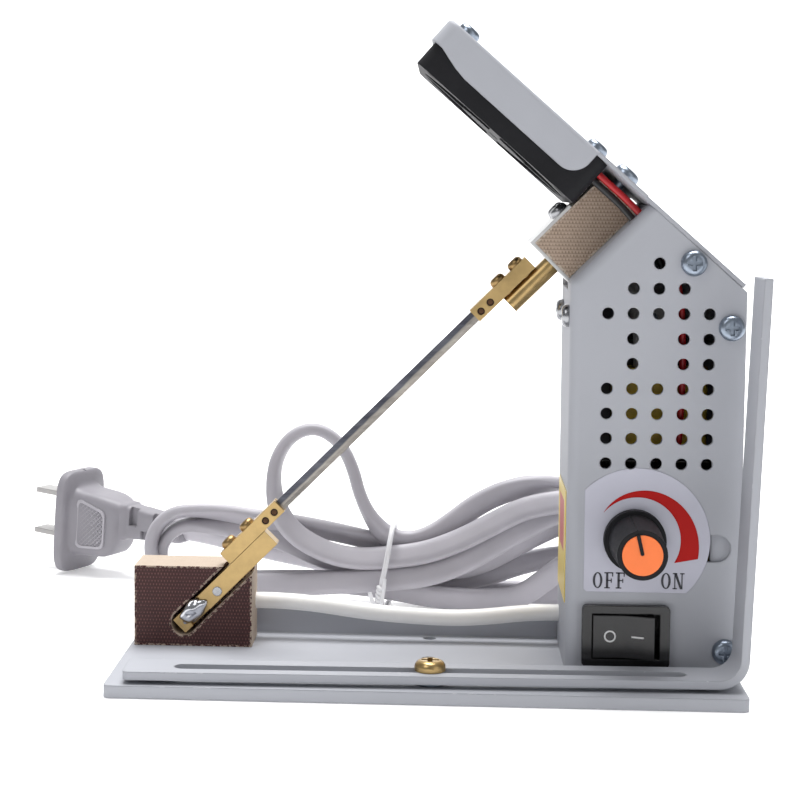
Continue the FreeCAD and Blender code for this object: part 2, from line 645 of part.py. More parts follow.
def make_housing():
    inner_left = wall_left + wall
    slope_rise = eave_left - wall_left
    inner_rise = slope_rise - wall * math.sqrt(2)
    inner_peak_x = (right_slope_height(0, 0) - inner_rise) / \
        (1 + sine(roof_angle) / cosine(roof_angle))
    far = cell("clear_of_all", 175)

    outline = [(wall_left, base_thick), (wall_left, eave_left), (peak_x, peak_z),
               (wall_right + right_lean, eave_right), (wall_right, base_thick)]
    front_bends = [(bend, lambda p: (near_to(p.y, face_y) and p.x < peak_x.value - 1
                                     and p.z > base_thick.value + 1)
                    or (near_to(p.x, wall_left) and near_to(p.z, eave_left)))]
    outer = prism(LEVEL, outline, (face_y, back_y), "XZ_Plane", front_bends)
    hollow_outline = [(inner_left, base_thick + wall), (inner_left, inner_left + inner_rise),
                      (inner_peak_x + 10, inner_peak_x + 10 + inner_rise),
                      (far, inner_peak_x + 10 + inner_rise), (far, base_thick + wall)]
    hollow_bends = [(bend - wall, lambda p: (near_to(p.y, face_y + wall) and p.x < peak_x.value + 5
                                             and p.z > base_thick.value + wall.value + 1
                                             and p.z < p.x - 12))]
    hollow = prism(LEVEL, hollow_outline, (face_y + wall, back_y + 5), "XZ_Plane", hollow_bends)
    flange_deep = cell("floor_flange", 33)
    floor_cut = box(LEVEL, ((inner_left, far), (flange_deep, back_y + 5),
                            (base_thick - 1, base_thick + wall + 1)))
    edge_cut = box(LEVEL, ((wall_right - wall, far), (face_y + wall, back_y + 5),
                           (base_thick - 1, base_thick + wall + 1)))
    bracket_mouth = box(LEVEL, span("bracket_mouth", (108, 112), (34, 56.2), (95.2, 99.6)))
    lead_hole = rod(LEVEL, (wall_left - 1, wall_left + 3), lead_y, cell("lead_hole_z", 11),
                    lead_radius)
    wire_hole = rod(ROOF, (-3, 3), wire_y, wire_n, cell("wire_hole", 2.6))
    lead_pass = rod(SLOPE, lead_u, blade_y, (-12, -7), lead_radius)
    switch_hole = box(LEVEL, ((switch_x - switch_half_wide, switch_x + switch_half_wide),
                              (face_y - beyond, face_y + wall + beyond),
                              (switch_z - switch_half_high, switch_z + switch_half_high)))
    dial_hole = rod(LEVEL, dial_x, (face_y - 1, face_y + wall + 1), dial_z, bushing_radius)
    tuning_radius = cell("tuning_slot", 6.5) / 2
    tuning_slot = slot(LEVEL, (cell("tuning_slot_left", 139.2), cell("tuning_slot_right", 144.8)),
                       (face_y - 1, face_y + wall * 2 + 1), cell("tuning_slot_z", 33.8), tuning_radius)
    bench_holes = [rod(LEVEL, x, y, (0, base_thick + 4), base_screw["shank"] / 2)
                   for x, y in housing_screw_spots]
    front_holes = [rod(LEVEL, x, (face_y - 1, face_y + 4), z, front_screw["shank"] / 2)
                   for x, z in front_screw_spots]
    side_holes = [rod(LEVEL, (wall_left - 1, wall_left + 2), y, z, side_screw["shank"] / 2)
                  for y, z in side_screw_spots]
    vent_holes = vents(range(len(vent_rows)))
    node("housing_front", cut(outer, hollow, floor_cut, edge_cut, bracket_mouth, lead_hole, wire_hole,
                              lead_pass, switch_hole, dial_hole, tuning_slot, vent_holes,
                              *bench_holes[:2], *front_holes, *side_holes))

    strip = cell("flange_strip", 7)
    shell_outline = [(inner_left, base_thick), (inner_left, inner_left + inner_rise),
                     (inner_peak_x, inner_peak_x + inner_rise),
                     (wall_right + right_lean, eave_right), (wall_right, base_thick)]
    back_bends = [(bend, lambda p: near_to(p.y, back_y) and p.x > peak_x.value + 1
                   and p.z > base_thick.value + 1)]
    shell = prism(LEVEL, shell_outline, (face_y + wall, back_y), "XZ_Plane", back_bends)
    start = cell("clear_left", 100)
    inside_right = wall_right - wall
    room = prism(LEVEL, [(start, base_thick + wall), (start, right_slope_height(start, wall)),
                         (inside_right, right_slope_height(inside_right, wall)),
                         (inside_right, base_thick + wall)],
                 (face_y + wall * 2, back_y - wall), "XZ_Plane",
                 [(bend - wall, lambda p: near_to(p.y, back_y - wall) and
                   (near_to(p.x, inside_right) or p.x > start.value + 5)
                   and p.z > base_thick.value + wall.value + 1)])
    window = prism(LEVEL, [(start, base_thick - 2), (start, right_slope_height(start, strip)),
                           (wall_right - strip, right_slope_height(wall_right - strip, strip)),
                           (wall_right - strip, base_thick - 2)],
                   (face_y, face_y + wall * 2 + 1), "XZ_Plane")
    rear_flange = cell("rear_floor_flange", 45)
    rear_floor_cut = box(LEVEL, ((start, far - 10), (face_y, rear_flange),
                                 (base_thick - 1, base_thick + wall + 1)))
    gland_hole = rod(LEVEL, gland_x, (back_y - 3, back_y + 1), gland_z, gland_radius)
    core_holes = [rod(LEVEL, core_x, (back_y - 3, back_y + 1), z, core_screw["shank"] / 2)
                  for z in core_screw_heights]
    post_holes = [rod(LEVEL, x, (back_y - 3, back_y + 1), z, post_screw["shank"] / 2)
                  for x, z in post_spots]
    node("housing_back", cut(shell, room, window, rear_floor_cut, gland_hole, *core_holes, *post_holes,
                             *[rod(LEVEL, x, y, (0, base_thick + 4), base_screw["shank"] / 2)
                               for x, y in housing_screw_spots[2:]],
                             *[rod(LEVEL, x, (face_y - 1, face_y + 4), z, front_screw["shank"] / 2)
                               for x, z in front_screw_spots]))
    node("housing_floor_screws", group(*[countersunk(floor_screw, LEVEL, x, y, sink)
                                         for x, y in housing_screw_spots]))
    node("front_screws", group(*[screw(front_screw, LEVEL, x, face_y, z, "front")
                                 for x, z in front_screw_spots]))
    node("side_screws", group(*[screw(side_screw, LEVEL, wall_left, y, z, "left")
                                for y, z in side_screw_spots]))


def make_labels():
    label_front = cell("label_front", 21.8)
    disc = rod(LEVEL, label_x, (label_front, face_y), label_z, label_radius)
    trim = box(LEVEL, ((cell("label_left", 113.1), 150), (label_front - 1, face_y + 1),
                       (cell("label_low", 22.9), 60)))
    hole = rod(LEVEL, dial_x, (label_front - 1, face_y + 1), dial_z, bushing_radius)
    node("dial_label", cut(common(disc, trim), hole, vents([len(vent_rows) - 1])))
    node("side_label", box(LEVEL, span("side_label", (108.8, wall_left), (27, 54), (19, 46.5))))


# ---------------------------------------------------------------- switch and dial

def make_switch():
    half_wide = cell("bezel_wide", 21) / 2
    half_high = cell("bezel_high", 15) / 2
    bezel_front = cell("bezel_front", 20.2)
    body_back = cell("switch_back", 37)
    bezel = box(LEVEL, ((switch_x - half_wide, switch_x + half_wide), (bezel_front, face_y),
                        (switch_z - half_high, switch_z + half_high)))
    bezel = soften(bezel, 1.2, lambda p: abs(p.y - bezel_front.value) > 0.1
                   and abs(p.y - face_y.value) > 0.1)
    core = box(LEVEL, ((switch_x - switch_half_wide, switch_x + switch_half_wide),
                       (face_y, body_back),
                       (switch_z - switch_half_high, switch_z + switch_half_high)))
    pocket_x = cell("rocker_pocket_wide", 16.2) / 2
    pocket_z = cell("rocker_pocket_high", 11) / 2
    pocket_back = cell("rocker_pocket_back", 32)
    pocket = box(LEVEL, ((switch_x - pocket_x, switch_x + pocket_x), (bezel_front - 1, pocket_back),
                         (switch_z - pocket_z, switch_z + pocket_z)))
    pivot_y = cell("rocker_pivot_y", 24)
    axle_radius = cell("rocker_axle", 2) / 2
    axle_half = cell("rocker_axle_half", 6.1)
    axle_bore = rod(LEVEL, switch_x, pivot_y, (switch_z - axle_half - fit, switch_z + axle_half + fit),
                    axle_radius + fit)
    tab_half_thick = cell("terminal_thick", 0.8) / 2
    tab_half_wide = cell("terminal_wide", 4.8) / 2
    tab_pitch = cell("terminal_pitch", 6)

    def tabs(end):
        return [box(LEVEL, ((switch_x + tab_pitch * step - tab_half_thick,
                             switch_x + tab_pitch * step + tab_half_thick),
                            (pocket_back + 1, end),
                            (switch_z - tab_half_wide, switch_z + tab_half_wide)))
                for step in (-1, 0, 1)]

    node("switch_housing", cut(join(bezel, core), pocket, axle_bore, *tabs(body_back + beyond)))
    node("switch_terminals", group(*tabs(cell("terminal_end", 44.5))))

    half = cell("rocker_wide", 14.6) / 2
    rise = cell("rocker_rise", 5.1)
    valley = cell("rocker_valley", 3.9)
    root = cell("rocker_root", 2)
    high = cell("rocker_high", 10.3) / 2
    tilt = cell("rocker_tilt", 7)
    local = Frame(origin_x, 0, 0)
    outline = [(-half, -rise), (0, -valley), (half, -rise), (half - 0.8, root), (-half + 0.8, root)]
    key = prism(local, [(x, as_size(y) + origin_y) for x, y in outline], (-high, high), "XY_Plane")
    axle = rod(local, 0, origin_y, (-axle_half, axle_half), axle_radius)
    rocker = join(key, axle)
    put(rocker, LEVEL, switch_x, pivot_y, switch_z, spin=Rotation(Vector(0, 0, 1), -tilt.value))
    node("switch_rocker", rocker)


def make_dial():
    shaft_radius = cell("shaft", 4) / 2
    nut_back = cell("nut_back", 21.8)
    pot_back = cell("pot_back", 31.2)
    behind = face_y + wall
    can = rod(LEVEL, dial_x, (behind, pot_back), dial_z, cell("pot_across", 16) / 2)
    bushing = rod(LEVEL, dial_x, (cell("bushing_front", 18.9), behind), dial_z, bushing_radius)
    bore = rod(LEVEL, dial_x, (15, pot_back - 5), dial_z, shaft_radius + fit)
    node("pot_body", cut(join(can, bushing), bore))
    across = cell("nut_corner", 4.6)
    hexagon = [(dial_x + across * math.cos(math.pi / 3 * side),
                dial_z + across * math.sin(math.pi / 3 * side)) for side in range(6)]
    nut = prism(LEVEL, hexagon, (cell("nut_front", 20), nut_back), "XZ_Plane")
    node("pot_nut", cut(nut, rod(LEVEL, dial_x, (18, 23), dial_z, bushing_radius)))
    shaft_front = cell("shaft_front", 8)
    node("pot_shaft", rod(LEVEL, dial_x, (shaft_front, pot_back - 5.2), dial_z, shaft_radius))

    knob_front = cell("knob_front", 1.2)
    skirt_front = cell("skirt_front", 18.6)
    knob_back = cell("knob_back", 21.4)
    skirt = rod(LEVEL, dial_x, (skirt_front, knob_back), dial_z, cell("skirt_across", 14.8) / 2)
    grip = rod(LEVEL, dial_x, (knob_front, skirt_front), dial_z, cell("knob_tip", 11.6) / 2,
               cell("knob_foot", 12.8) / 2)
    cap_back = cell("cap_back", 2.4)
    cap_radius = cell("cap_across", 9.4) / 2
    cap_seat = rod(LEVEL, dial_x, (0, cap_back), dial_z, cap_radius)
    recess = rod(LEVEL, dial_x, (skirt_front - 0.2, knob_back + 1), dial_z, cell("knob_recess", 5.4))
    shaft_bore = rod(LEVEL, dial_x, (shaft_front, skirt_front), dial_z, shaft_radius)
    node("knob", cut(join(skirt, grip), cap_seat, recess, shaft_bore))
    node("knob_cap", rod(LEVEL, dial_x, (cell("cap_front", 1), cap_back), dial_z, cap_radius))


# ---------------------------------------------------------------- electrics inside the housing

def make_transformer():
    stack = (cell("core_front", 36), cell("core_back", 50))
    half_wide = cell("core_wide", 32) / 2
    half_high = cell("core_high", 28) / 2
    yoke = cell("core_yoke", 4.5)
    leg_half = cell("core_leg", 9) / 2
    outer = box(LEVEL, ((core_x - half_wide, core_x + half_wide), stack,
                        (core_z - half_high, core_z + half_high)))
    inside_high = (core_z - half_high + yoke, core_z + half_high - yoke)
    windows = [box(LEVEL, (pair, (stack[0] - 1, stack[1] + 1), inside_high))
               for pair in ((core_x - half_wide + yoke, core_x - leg_half),
                            (core_x + leg_half, core_x + half_wide - yoke))]
    node("transformer_core", cut(outer, *windows))
    coil_half = half_wide - yoke - 0.1
    coil = box(LEVEL, ((core_x - coil_half, core_x + coil_half),
                       (cell("coil_front", 28.5), cell("coil_back", 54.5)), inside_high))
    coil = soften(coil, 2.5, lambda p: near_to(p.z, core_z) and (p.y < 30 or p.y > 54))
    tunnel = box(LEVEL, ((core_x - leg_half, core_x + leg_half), stack,
                         (core_z - half_high, core_z + half_high)))
    node("transformer_winding", cut(coil, tunnel))
    strap = cell("strap_sheet", 0.8)
    ring = box(LEVEL, ((core_x - half_wide - strap, core_x + half_wide + strap), (38, stack[1]),
                       (core_z - half_high - strap, core_z + half_high + strap)))
    feet = []
    for sign, edge in ((-1, core_z - half_high - strap), (1, core_z + half_high)):
        feet.append(box(LEVEL, ((core_x - 4.5, core_x + 4.5), (stack[1] - 1, back_y - wall),
                                (edge, edge + strap))))
        far = edge + strap * 0.5 * (1 + sign) + sign * 10
        feet.append(box(LEVEL, ((core_x - 4.5, core_x + 4.5), (back_y - wall - strap, back_y - wall),
                                (far, edge + strap) if sign < 0 else (edge, far))))
    node("transformer_frame", cut(join(ring, *feet), box(LEVEL, (
        (core_x - half_wide, core_x + half_wide), (30, stack[1] + 0.0),
        (core_z - half_high, core_z + half_high))),
        *[rod(LEVEL, core_x, (50, 57), z, core_screw["shank"] / 2) for z in core_screw_heights]))
    node("transformer_screws", group(*[screw(core_screw, LEVEL, core_x, back_y, z, "back")
                                       for z in core_screw_heights]))


def make_board():
    board = span("board", (112, 147), (35, 36.6), (22, 50))
    pin_holes = [rod(LEVEL, x, (30, 40), z, post_screw["shank"] / 2) for x, z in post_spots]
    node("dimmer_board", cut(box(LEVEL, board), *pin_holes))
    post_radius = cell("board_post", 5) / 2
    posts = [rod(LEVEL, x, (board[1][1], back_y - wall), z, post_radius) for x, z in post_spots]
    node("board_posts", group(*[cut(post, rod(LEVEL, x, (50, 57), z, post_screw["shank"] / 2),
                                    rod(LEVEL, x, (36, 43), z, post_screw["shank"] / 2))
                                for post, (x, z) in zip(posts, post_spots)]))
    rear = [screw(post_screw, LEVEL, x, back_y, z, "back") for x, z in post_spots]
    front = [screw(post_screw, LEVEL, x, board[1][0], z, "front") for x, z in post_spots]
    node("board_screws", group(*rear, *front))
    front_face = board[1][0]
    triac = span("triac", (131, 141), (30.6, front_face), (22.5, 26.5))
    tab = span("triac_tab", triac[0], (33.6, front_face), (triac[2][1], 31))
    node("triac", join(box(LEVEL, triac), box(LEVEL, tab)))
    can = span("capacitor", (127, 139), (31.8, front_face), (45, 49.5))
    node("dimmer_capacitor", soften(box(LEVEL, can), 1,
                                    lambda p: can[1][0].value + 0.1 < p.y < 34))


# ---------------------------------------------------------------- leads and fan

def make_leads():
    conductor = rod(LEVEL, stub_x, (bar_back, lead_y), lead_z, stub_radius)
    route = [(15, 52, 12.7), (42, 52, 12.7), (62, 50.9, 10.1), (84, 51.4, 8.9), (103, 52, 11),
             (116, 52, 11), (122.2, 52, 20), (122.8, 52.3, 38), (122.3, 52.3, 57.5)]
    node("heater_lead", join(tube("heater_lead", lead_radius, route), conductor))
    route = [SLOPE.bench(lead_u, blade_y, bar_v - 2.3), SLOPE.bench(lead_u, blade_y, -17.5),
             (126.2, 37, 91.5), (127, 32, 84), (127, 32, 76.5)]
    core = rod(SLOPE, lead_u, blade_y, (bar_v - 2.35, bar_v), conductor_radius)
    node("upper_lead", join(tube("upper_lead", lead_radius, route), core))
    wire_radius = cell("wire_radius", 0.85)
    for name, n, shift in (("fan_wire_red", -2.5, 0), ("fan_wire_black", -4.4, 2.2)):
        route = [ROOF.bench(fan_right, wire_y, n), ROOF.bench(-3, wire_y, n),
                 (131.5 - shift, 28.0, 107.5 - shift),
                 (135.5 - shift, 26, 95), (136.4 - shift, 26, 76), (135.6 - shift, 27, 57),
                 (133.5 - shift, 31.5, 52), (133.5 - shift, 35.8, 50.0)]
        node(name, tube(name, wire_radius, route))


def make_fan():
    cover_left = cell("cover_left", -64.8)
    sheet_thick = cell("cover_sheet", 1)
    tray_end = cell("tray_end", -2)
    tray_front = cell("tray_front", 18.8)
    tray_back = cell("tray_back", 71.2)
    flange_low = cell("flange_low", -7.6)
    flange_start = cell("flange_start", -61.6)
    flange_end = cell("flange_end", -17.5)
    flange_corner = cell("flange_corner", 5)
    hem_depth = cell("hem_depth", -5.6)
    round_corner = cell("cover_corner", 3.2)
    round_edge = cell("cover_edge", 1)

    def corner_edge(place):
        s, _ = ROOF.back(place)
        return near_to(s, corner_edge.left) and not near_to(place.y, (tray_front + tray_back) / 2)

    def top_edge(place):
        s, n = ROOF.back(place)
        return near_to(n, sheet_thick) and s < flange_end.value - TINY

    corner_edge.left = cover_left
    lid = box(ROOF, ((cover_left, flange_end), (tray_front, tray_back), (flange_low, sheet_thick)))
    lid = soften(soften(lid, round_corner, corner_edge), round_edge, top_edge)
    corner_edge.left = cover_left + sheet_thick
    room = box(ROOF, ((cover_left + sheet_thick, flange_end + beyond),
                      (tray_front + sheet_thick, tray_back - sheet_thick),
                      (flange_low - beyond, 0)))
    room = soften(room, round_corner - sheet_thick, corner_edge)
    corner_s = flange_end - flange_corner
    across = (tray_front - beyond, tray_back + beyond)
    low_corner = cut(box(ROOF, ((corner_s, flange_end + beyond), across,
                                (flange_low - beyond, flange_low + flange_corner))),
                     rod(ROOF, corner_s, across, flange_low + flange_corner, flange_corner))
    hem = prism(ROOF, [(cover_left - beyond, flange_low - beyond),
                       (cover_left - beyond, hem_depth), (flange_start, hem_depth),
                       (flange_start + 5.5, flange_low + 0.5), (flange_start + 9, flange_low),
                       (flange_start + 9, flange_low - beyond)], across, "XZ_Plane")
    tray = box(ROOF, ((flange_end, tray_end), (tray_front, tray_back), (0, sheet_thick)))
    roof = box(ROOF, ((tray_end, cell("cover_right", 29.5)), (face_y, back_y + 0.3),
                      (0, sheet_thick)))
    skirt = box(ROOF, span("roof_skirt", (-12.4, tray_end), (57.3, 58.3), (-9, 0.5)))
    intake_radius = cell("intake_hole", 3) / 2
    ring_pitch = cell("intake_ring", 5)
    intakes = [rod(ROOF, fan_s, fan_y, (-1, 2), intake_radius)]
    for ring in range(1, 5):
        for step in range(6 * ring):
            turn = math.pi * step / (3 * ring)
            intakes.append(rod(ROOF, fan_s + ring_pitch * (ring * math.cos(turn)),
                               fan_y + ring_pitch * (ring * math.sin(turn)), (-1, 2), intake_radius))
    screw_holes = [rod(ROOF, s, y, (-1, 2), fan_screw["shank"] / 2) for s, y in fan_screw_spots]
    screw_holes.append(rod(ROOF, roof_screw_s, roof_screw_y, (-1, 2), roof_screw["shank"] / 2))
    node("fan_cover", cut(join(cut(lid, room, low_corner, hem), tray, roof, skirt),
                          *intakes, *screw_holes))

    below = -fan_deep
    square = box(ROOF, ((fan_left, fan_right), (fan_front, fan_front + fan_wide), (below, 0)))
    square = soften(square, 3, lambda p: near_to(ROOF.back(p)[1], below / 2))
    throat = cell("fan_throat", 46) / 2
    hub_radius = cell("fan_hub", 21) / 2
    ring_hole = rod(ROOF, fan_s, fan_y, (below - 1, 1), throat)
    floor = cell("fan_floor", 2)
    hub = rod(ROOF, fan_s, fan_y, (below, below + floor), hub_radius)
    half = cell("fan_strut", 3.4) / 2
    reach = throat + 1
    struts = [box(ROOF, ((fan_s - reach, fan_s + reach), (fan_y - half, fan_y + half),
                         (below, below + floor))),
              box(ROOF, ((fan_s - half, fan_s + half), (fan_y - reach, fan_y + reach),
                         (below, below + floor)))]
    axle_radius = cell("fan_axle", 3) / 2
    axle_bore = rod(ROOF, fan_s, fan_y, (below - 1, below + floor + 1), axle_radius + fit)
    frame_holes = [rod(ROOF, s, y, (below - 1, 1), fan_screw["shank"] / 2) for s, y in fan_screw_spots]
    node("fan_frame", cut(join(cut(square, ring_hole), hub, *struts), axle_bore, *frame_holes))

    rotor_low = below + floor + 0.4
    rotor_high = cell("rotor_high", -1)
    hub_part = rod(ROOF, fan_s, fan_y, (rotor_low, rotor_high), cell("rotor_hub", 20) / 2)
    axle = rod(ROOF, fan_s, fan_y, (below + 0.2, rotor_low + 1), axle_radius)
    sweep = cell("rotor_across", 44.6) / 2
    blades = []
    for index in range(7):
        blade = sized("Part::Box", Length=sweep - 7, Width=13.5, Height=1.1)
        spin = Rotation(Vector(0, 0, 1), index * 360 / 7) * Rotation(Vector(1, 0, 0), 33)
        shift = spin.multVec(Vector(7, -6.75, -0.55))
        blade.Placement = Placement(shift, spin)
        blades.append(blade)
    local_join = join(*blades)
    put(local_join, ROOF, fan_s, fan_y, (rotor_low + rotor_high) / 2)
    envelope = rod(ROOF, fan_s, fan_y, (rotor_low, rotor_high), sweep)
    node("fan_rotor", join(hub_part, axle, common(local_join, envelope)))
    node("fan_screws", group(*[screw(fan_screw, ROOF, s, y, sheet_thick, "up")
                               for s, y in fan_screw_spots]))
    washer_radius = cell("roof_washer", 9.2) / 2
    washer_thick = cell("roof_washer_thick", 0.8)
    big = screw(roof_screw, ROOF, roof_screw_s, roof_screw_y, sheet_thick + washer_thick, "up")
    ring = cut(rod(ROOF, roof_screw_s, roof_screw_y, (sheet_thick, sheet_thick + washer_thick),
                   washer_radius),
               rod(ROOF, roof_screw_s, roof_screw_y, (0, 3), roof_screw["shank"] / 2))
    node("roof_screw", big)
    node("roof_washer", ring)


# ---------------------------------------------------------------- mains cord

cord_radius = cell("cord_section", 5.2) / 2
relief_end = cell("relief_end", 79)
hank_front = cell("hank_front", 95)
hank_back = cell("hank_back", 113)
plug_x = cell("plug_x", -34.75)
plug_y = cell("plug_y", 150)
plug_z = cell("plug_z", 16)
plug_lift = cell("plug_lift", 0.2)
plug_yaw = cell("plug_yaw", 26)
plug_pitch = cell("plug_pitch", 4)
neck_end = cell("plug_neck_end", 39.5)


def plug_placement():
    """The plug lies turned towards the front, with its cord end a little lower."""
    turn = Rotation(Vector(0, 0, 1), -plug_yaw.value) * Rotation(Vector(0, 1, 0), plug_pitch.value)
    pivot = LEVEL.point(plug_x, plug_y, 0)
    return Placement(Vector(0, 0, plug_lift.value), turn, pivot)


def plug_point(along):
    """A bench place on the plug's axis, at a distance from its flange."""
    place = plug_placement().multVec(LEVEL.point(plug_x + along, plug_y, plug_z))
    return tuple(place + Vector(origin_x.value, origin_y.value, 0))


def make_cord():
    flange = rod(LEVEL, gland_x, (back_y, back_y + 2), gland_z, cell("gland_flange", 12) / 2)
    lock = rod(LEVEL, gland_x, (back_y - wall - 2, back_y - wall), gland_z, cell("gland_lock", 10) / 2)
    neck = rod(LEVEL, gland_x, (back_y - wall, back_y), gland_z, gland_radius)
    sleeve = rod(LEVEL, gland_x, (back_y + 2, relief_end), gland_z, cell("relief_root", 9) / 2,
                 cell("relief_tip", 7.4) / 2)
    node("cord_gland", join(flange, lock, neck, sleeve))
    node("mains_lead", rod(LEVEL, gland_x, (relief_end, hank_front), gland_z, cord_radius))
    outline = [(-7, 9), (-1, 1), (25, 0), (63, 0), (100, 0), (140, 1), (150, 10), (151, 28),
               (141, 40), (112, 42), (84, 30), (70, 23.4), (62.8, 25), (58, 41), (52, 51),
               (43, 55), (33, 48), (28, 33), (3, 31), (-5, 28), (-8, 18)]
    hank = prism(LEVEL, outline, (hank_front, hank_back), "XZ_Plane")
    tie = span("twist_tie", (63.2, 66.4), (93.6, 114.4), (0, 26.5))
    inner = box(LEVEL, ((tie[0][0] - beyond, tie[0][1] + beyond), (hank_front, hank_back),
                        (-beyond, cell("twist_tie_under", 25.3))))
    node("cord_hank", hank)
    node("twist_tie", cut(box(LEVEL, tie), inner))
    tail = [plug_point(neck_end), plug_point(neck_end + 17), (38, 119.5, 9.5),
            (58, hank_back.value, 9.5)]
    inside = box(LEVEL, span("tail_trim", (40, 80), (hank_front, hank_back), (0, 30)))
    node("cord_tail", cut(tube("cord_tail", cord_radius, tail), inside))


def plug_span(name, along, across, up):
    """A box in the plug's own axes: along it from its flange, across it, and up from its foot."""
    (left, right), (near, far), high = span(name, along, across, up)
    return (plug_x + left, plug_x + right), (plug_y + near, plug_y + far), high


def make_plug():
    flange = box(LEVEL, plug_span("plug_flange", (-2.25, 2.25), (-12, 12), (0, 32.6)))
    flange = soften(flange, 6, lambda p: near_to(p.x, plug_x))
    step = box(LEVEL, plug_span("plug_step", (2.25, 3.8), (-8.5, 8.5), (3.5, 29)))
    half_grip = cell("plug_grip", 14) / 2
    grip = prism(LEVEL, [(plug_x + along, up) for along, up in (
        (3.8, 4), (3.8, 28.5), (13, 27.5), (19.7, 22), (19.7, 9.5), (13, 5))],
        (plug_y - half_grip, plug_y + half_grip), "XZ_Plane")
    half_neck = cell("plug_neck", 7.6) / 2
    neck = prism(LEVEL, [(plug_x + along, plug_z + up) for along, up in (
        (19.7, -5.2), (19.7, 5.2), (neck_end, 3.9), (neck_end, -3.9))],
        (plug_y - half_neck, plug_y + half_neck), "XZ_Plane")
    slit_pitch = cell("plug_slit_pitch", 4.4)
    slits = [box(LEVEL, plug_span(f"plug_slit_{side}{index}", (22 + slit_pitch.value * index,
                                                               23.6 + slit_pitch.value * index),
                                  across, (13.5, 20.5)))
             for index in range(4)
             for side, across in (("near", (-5, -2.7)), ("far", (2.7, 5)))]
    prong_span = [plug_span(f"prong_{word}", (-15, 1.5), (-3.2, 3.2), (z - 0.75, z + 0.75))
                  for word, z in (("upper", 23.3), ("lower", 10.6))]
    body = cut(join(flange, step, grip, neck), *slits, *[box(LEVEL, one) for one in prong_span])
    prongs = group(*[box(LEVEL, one) for one in prong_span])
    for item in (body, prongs):
        item.Placement = plug_placement()
    node("plug_body", body)
    node("plug_prongs", prongs)


# ---------------------------------------------------------------- the whole part

make_base()
make_stop()
make_lower_holder()
make_blade()
make_upper_holder()
make_housing()
make_labels()
make_switch()
make_dial()
make_transformer()
make_board()
make_leads()
make_fan()
make_cord()
make_plug()
doc.recompute()

bad = [f"{item.Name} ({item.Label}): {item.State}" for item in doc.Objects
       if {"Invalid", "Error"} & set(item.State)]
for item in nodes:
    shape = item.Shape
    if shape.isNull() or not shape.isValid() or not shape.Solids:
        bad.append(f"{item.Label}: shape is not a valid solid")
if bad:
    raise RuntimeError("\n".join(bad))
os.makedirs("parts", exist_ok=True)
for item in nodes:
    item.Shape.exportStep(f"parts/{item.Label}.step")

total = FreeCAD.BoundBox()
for item in nodes:
    if item.Label not in ("cord_gland", "mains_lead", "cord_hank", "twist_tie", "cord_tail",
                          "plug_body", "plug_prongs"):
        total.add(item.Shape.BoundBox)
print(f"{len(nodes)} nodes, without the cord x {total.XMin:.2f} {total.XMax:.2f}, "
      f"y {total.YMin:.2f} {total.YMax:.2f}, z {total.ZMin:.2f} {total.ZMax:.2f}")
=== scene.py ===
import json
import math

import bmesh
import bpy
from mathutils import Euler, Matrix, Vector, noise


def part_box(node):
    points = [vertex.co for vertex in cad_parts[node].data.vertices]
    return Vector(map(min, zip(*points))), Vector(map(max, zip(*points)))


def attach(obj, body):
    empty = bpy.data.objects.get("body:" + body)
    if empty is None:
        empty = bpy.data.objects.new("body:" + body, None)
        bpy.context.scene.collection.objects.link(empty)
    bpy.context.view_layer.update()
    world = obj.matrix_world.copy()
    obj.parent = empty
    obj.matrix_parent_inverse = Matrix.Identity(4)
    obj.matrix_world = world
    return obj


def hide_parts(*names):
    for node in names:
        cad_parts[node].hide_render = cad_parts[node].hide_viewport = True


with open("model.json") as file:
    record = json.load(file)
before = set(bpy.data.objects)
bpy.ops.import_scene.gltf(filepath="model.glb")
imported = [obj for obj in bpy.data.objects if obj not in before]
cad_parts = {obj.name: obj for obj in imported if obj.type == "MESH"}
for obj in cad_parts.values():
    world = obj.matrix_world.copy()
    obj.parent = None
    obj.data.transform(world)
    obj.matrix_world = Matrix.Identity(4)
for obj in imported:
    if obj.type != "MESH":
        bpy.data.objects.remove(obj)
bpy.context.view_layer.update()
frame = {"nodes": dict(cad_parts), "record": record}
MM = 0.001
ROOT2 = math.sqrt(2)
PLATE_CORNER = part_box("base_plate")[0]
BENCH = Vector((PLATE_CORNER[0], PLATE_CORNER[1], 0))
BENCH_FRAME = Matrix.Translation(BENCH) @ Matrix.Scale(MM, 4)
BLADE_SLOPE = 45


def at(x, y, z):
    """A place in metres from bench millimetres: x from the base's left end, y from its front."""
    return BENCH + Vector((x, y, z)) * MM


def on_slope(u, y, v):
    """A place in the blade's own axes: u up along the blade, v across it."""
    return at((u - v) / ROOT2, y, (u + v) / ROOT2)


def middle(node):
    """The middle of a CAD node's box at rest."""
    low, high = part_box(node)
    return (Vector(low) + Vector(high)) / 2


# ---------------------------------------------------------------- meshes

def shade(mesh, sharp):
    """Closes the mesh's seams and makes it smooth except at edges sharper than the angle."""
    build = bmesh.new()
    build.from_mesh(mesh)
    bmesh.ops.remove_doubles(build, verts=build.verts, dist=1e-7)
    bmesh.ops.recalc_face_normals(build, faces=build.faces)
    for face in build.faces:
        face.smooth = True
    for edge in build.edges:
        edge.smooth = len(edge.link_faces) == 2 and edge.calc_face_angle(0) < math.radians(sharp)
    build.to_mesh(mesh)
    build.free()


def piece(name, vertices, faces, body="root", sharp=40):
    """A mesh object that rides on a body, smooth except at edges sharper than the angle."""
    mesh = bpy.data.meshes.new(name)
    mesh.from_pydata([tuple(v) for v in vertices], [], faces)
    shade(mesh, sharp)
    item = bpy.data.objects.new(name, mesh)
    bpy.context.scene.collection.objects.link(item)
    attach(item, body)
    return item


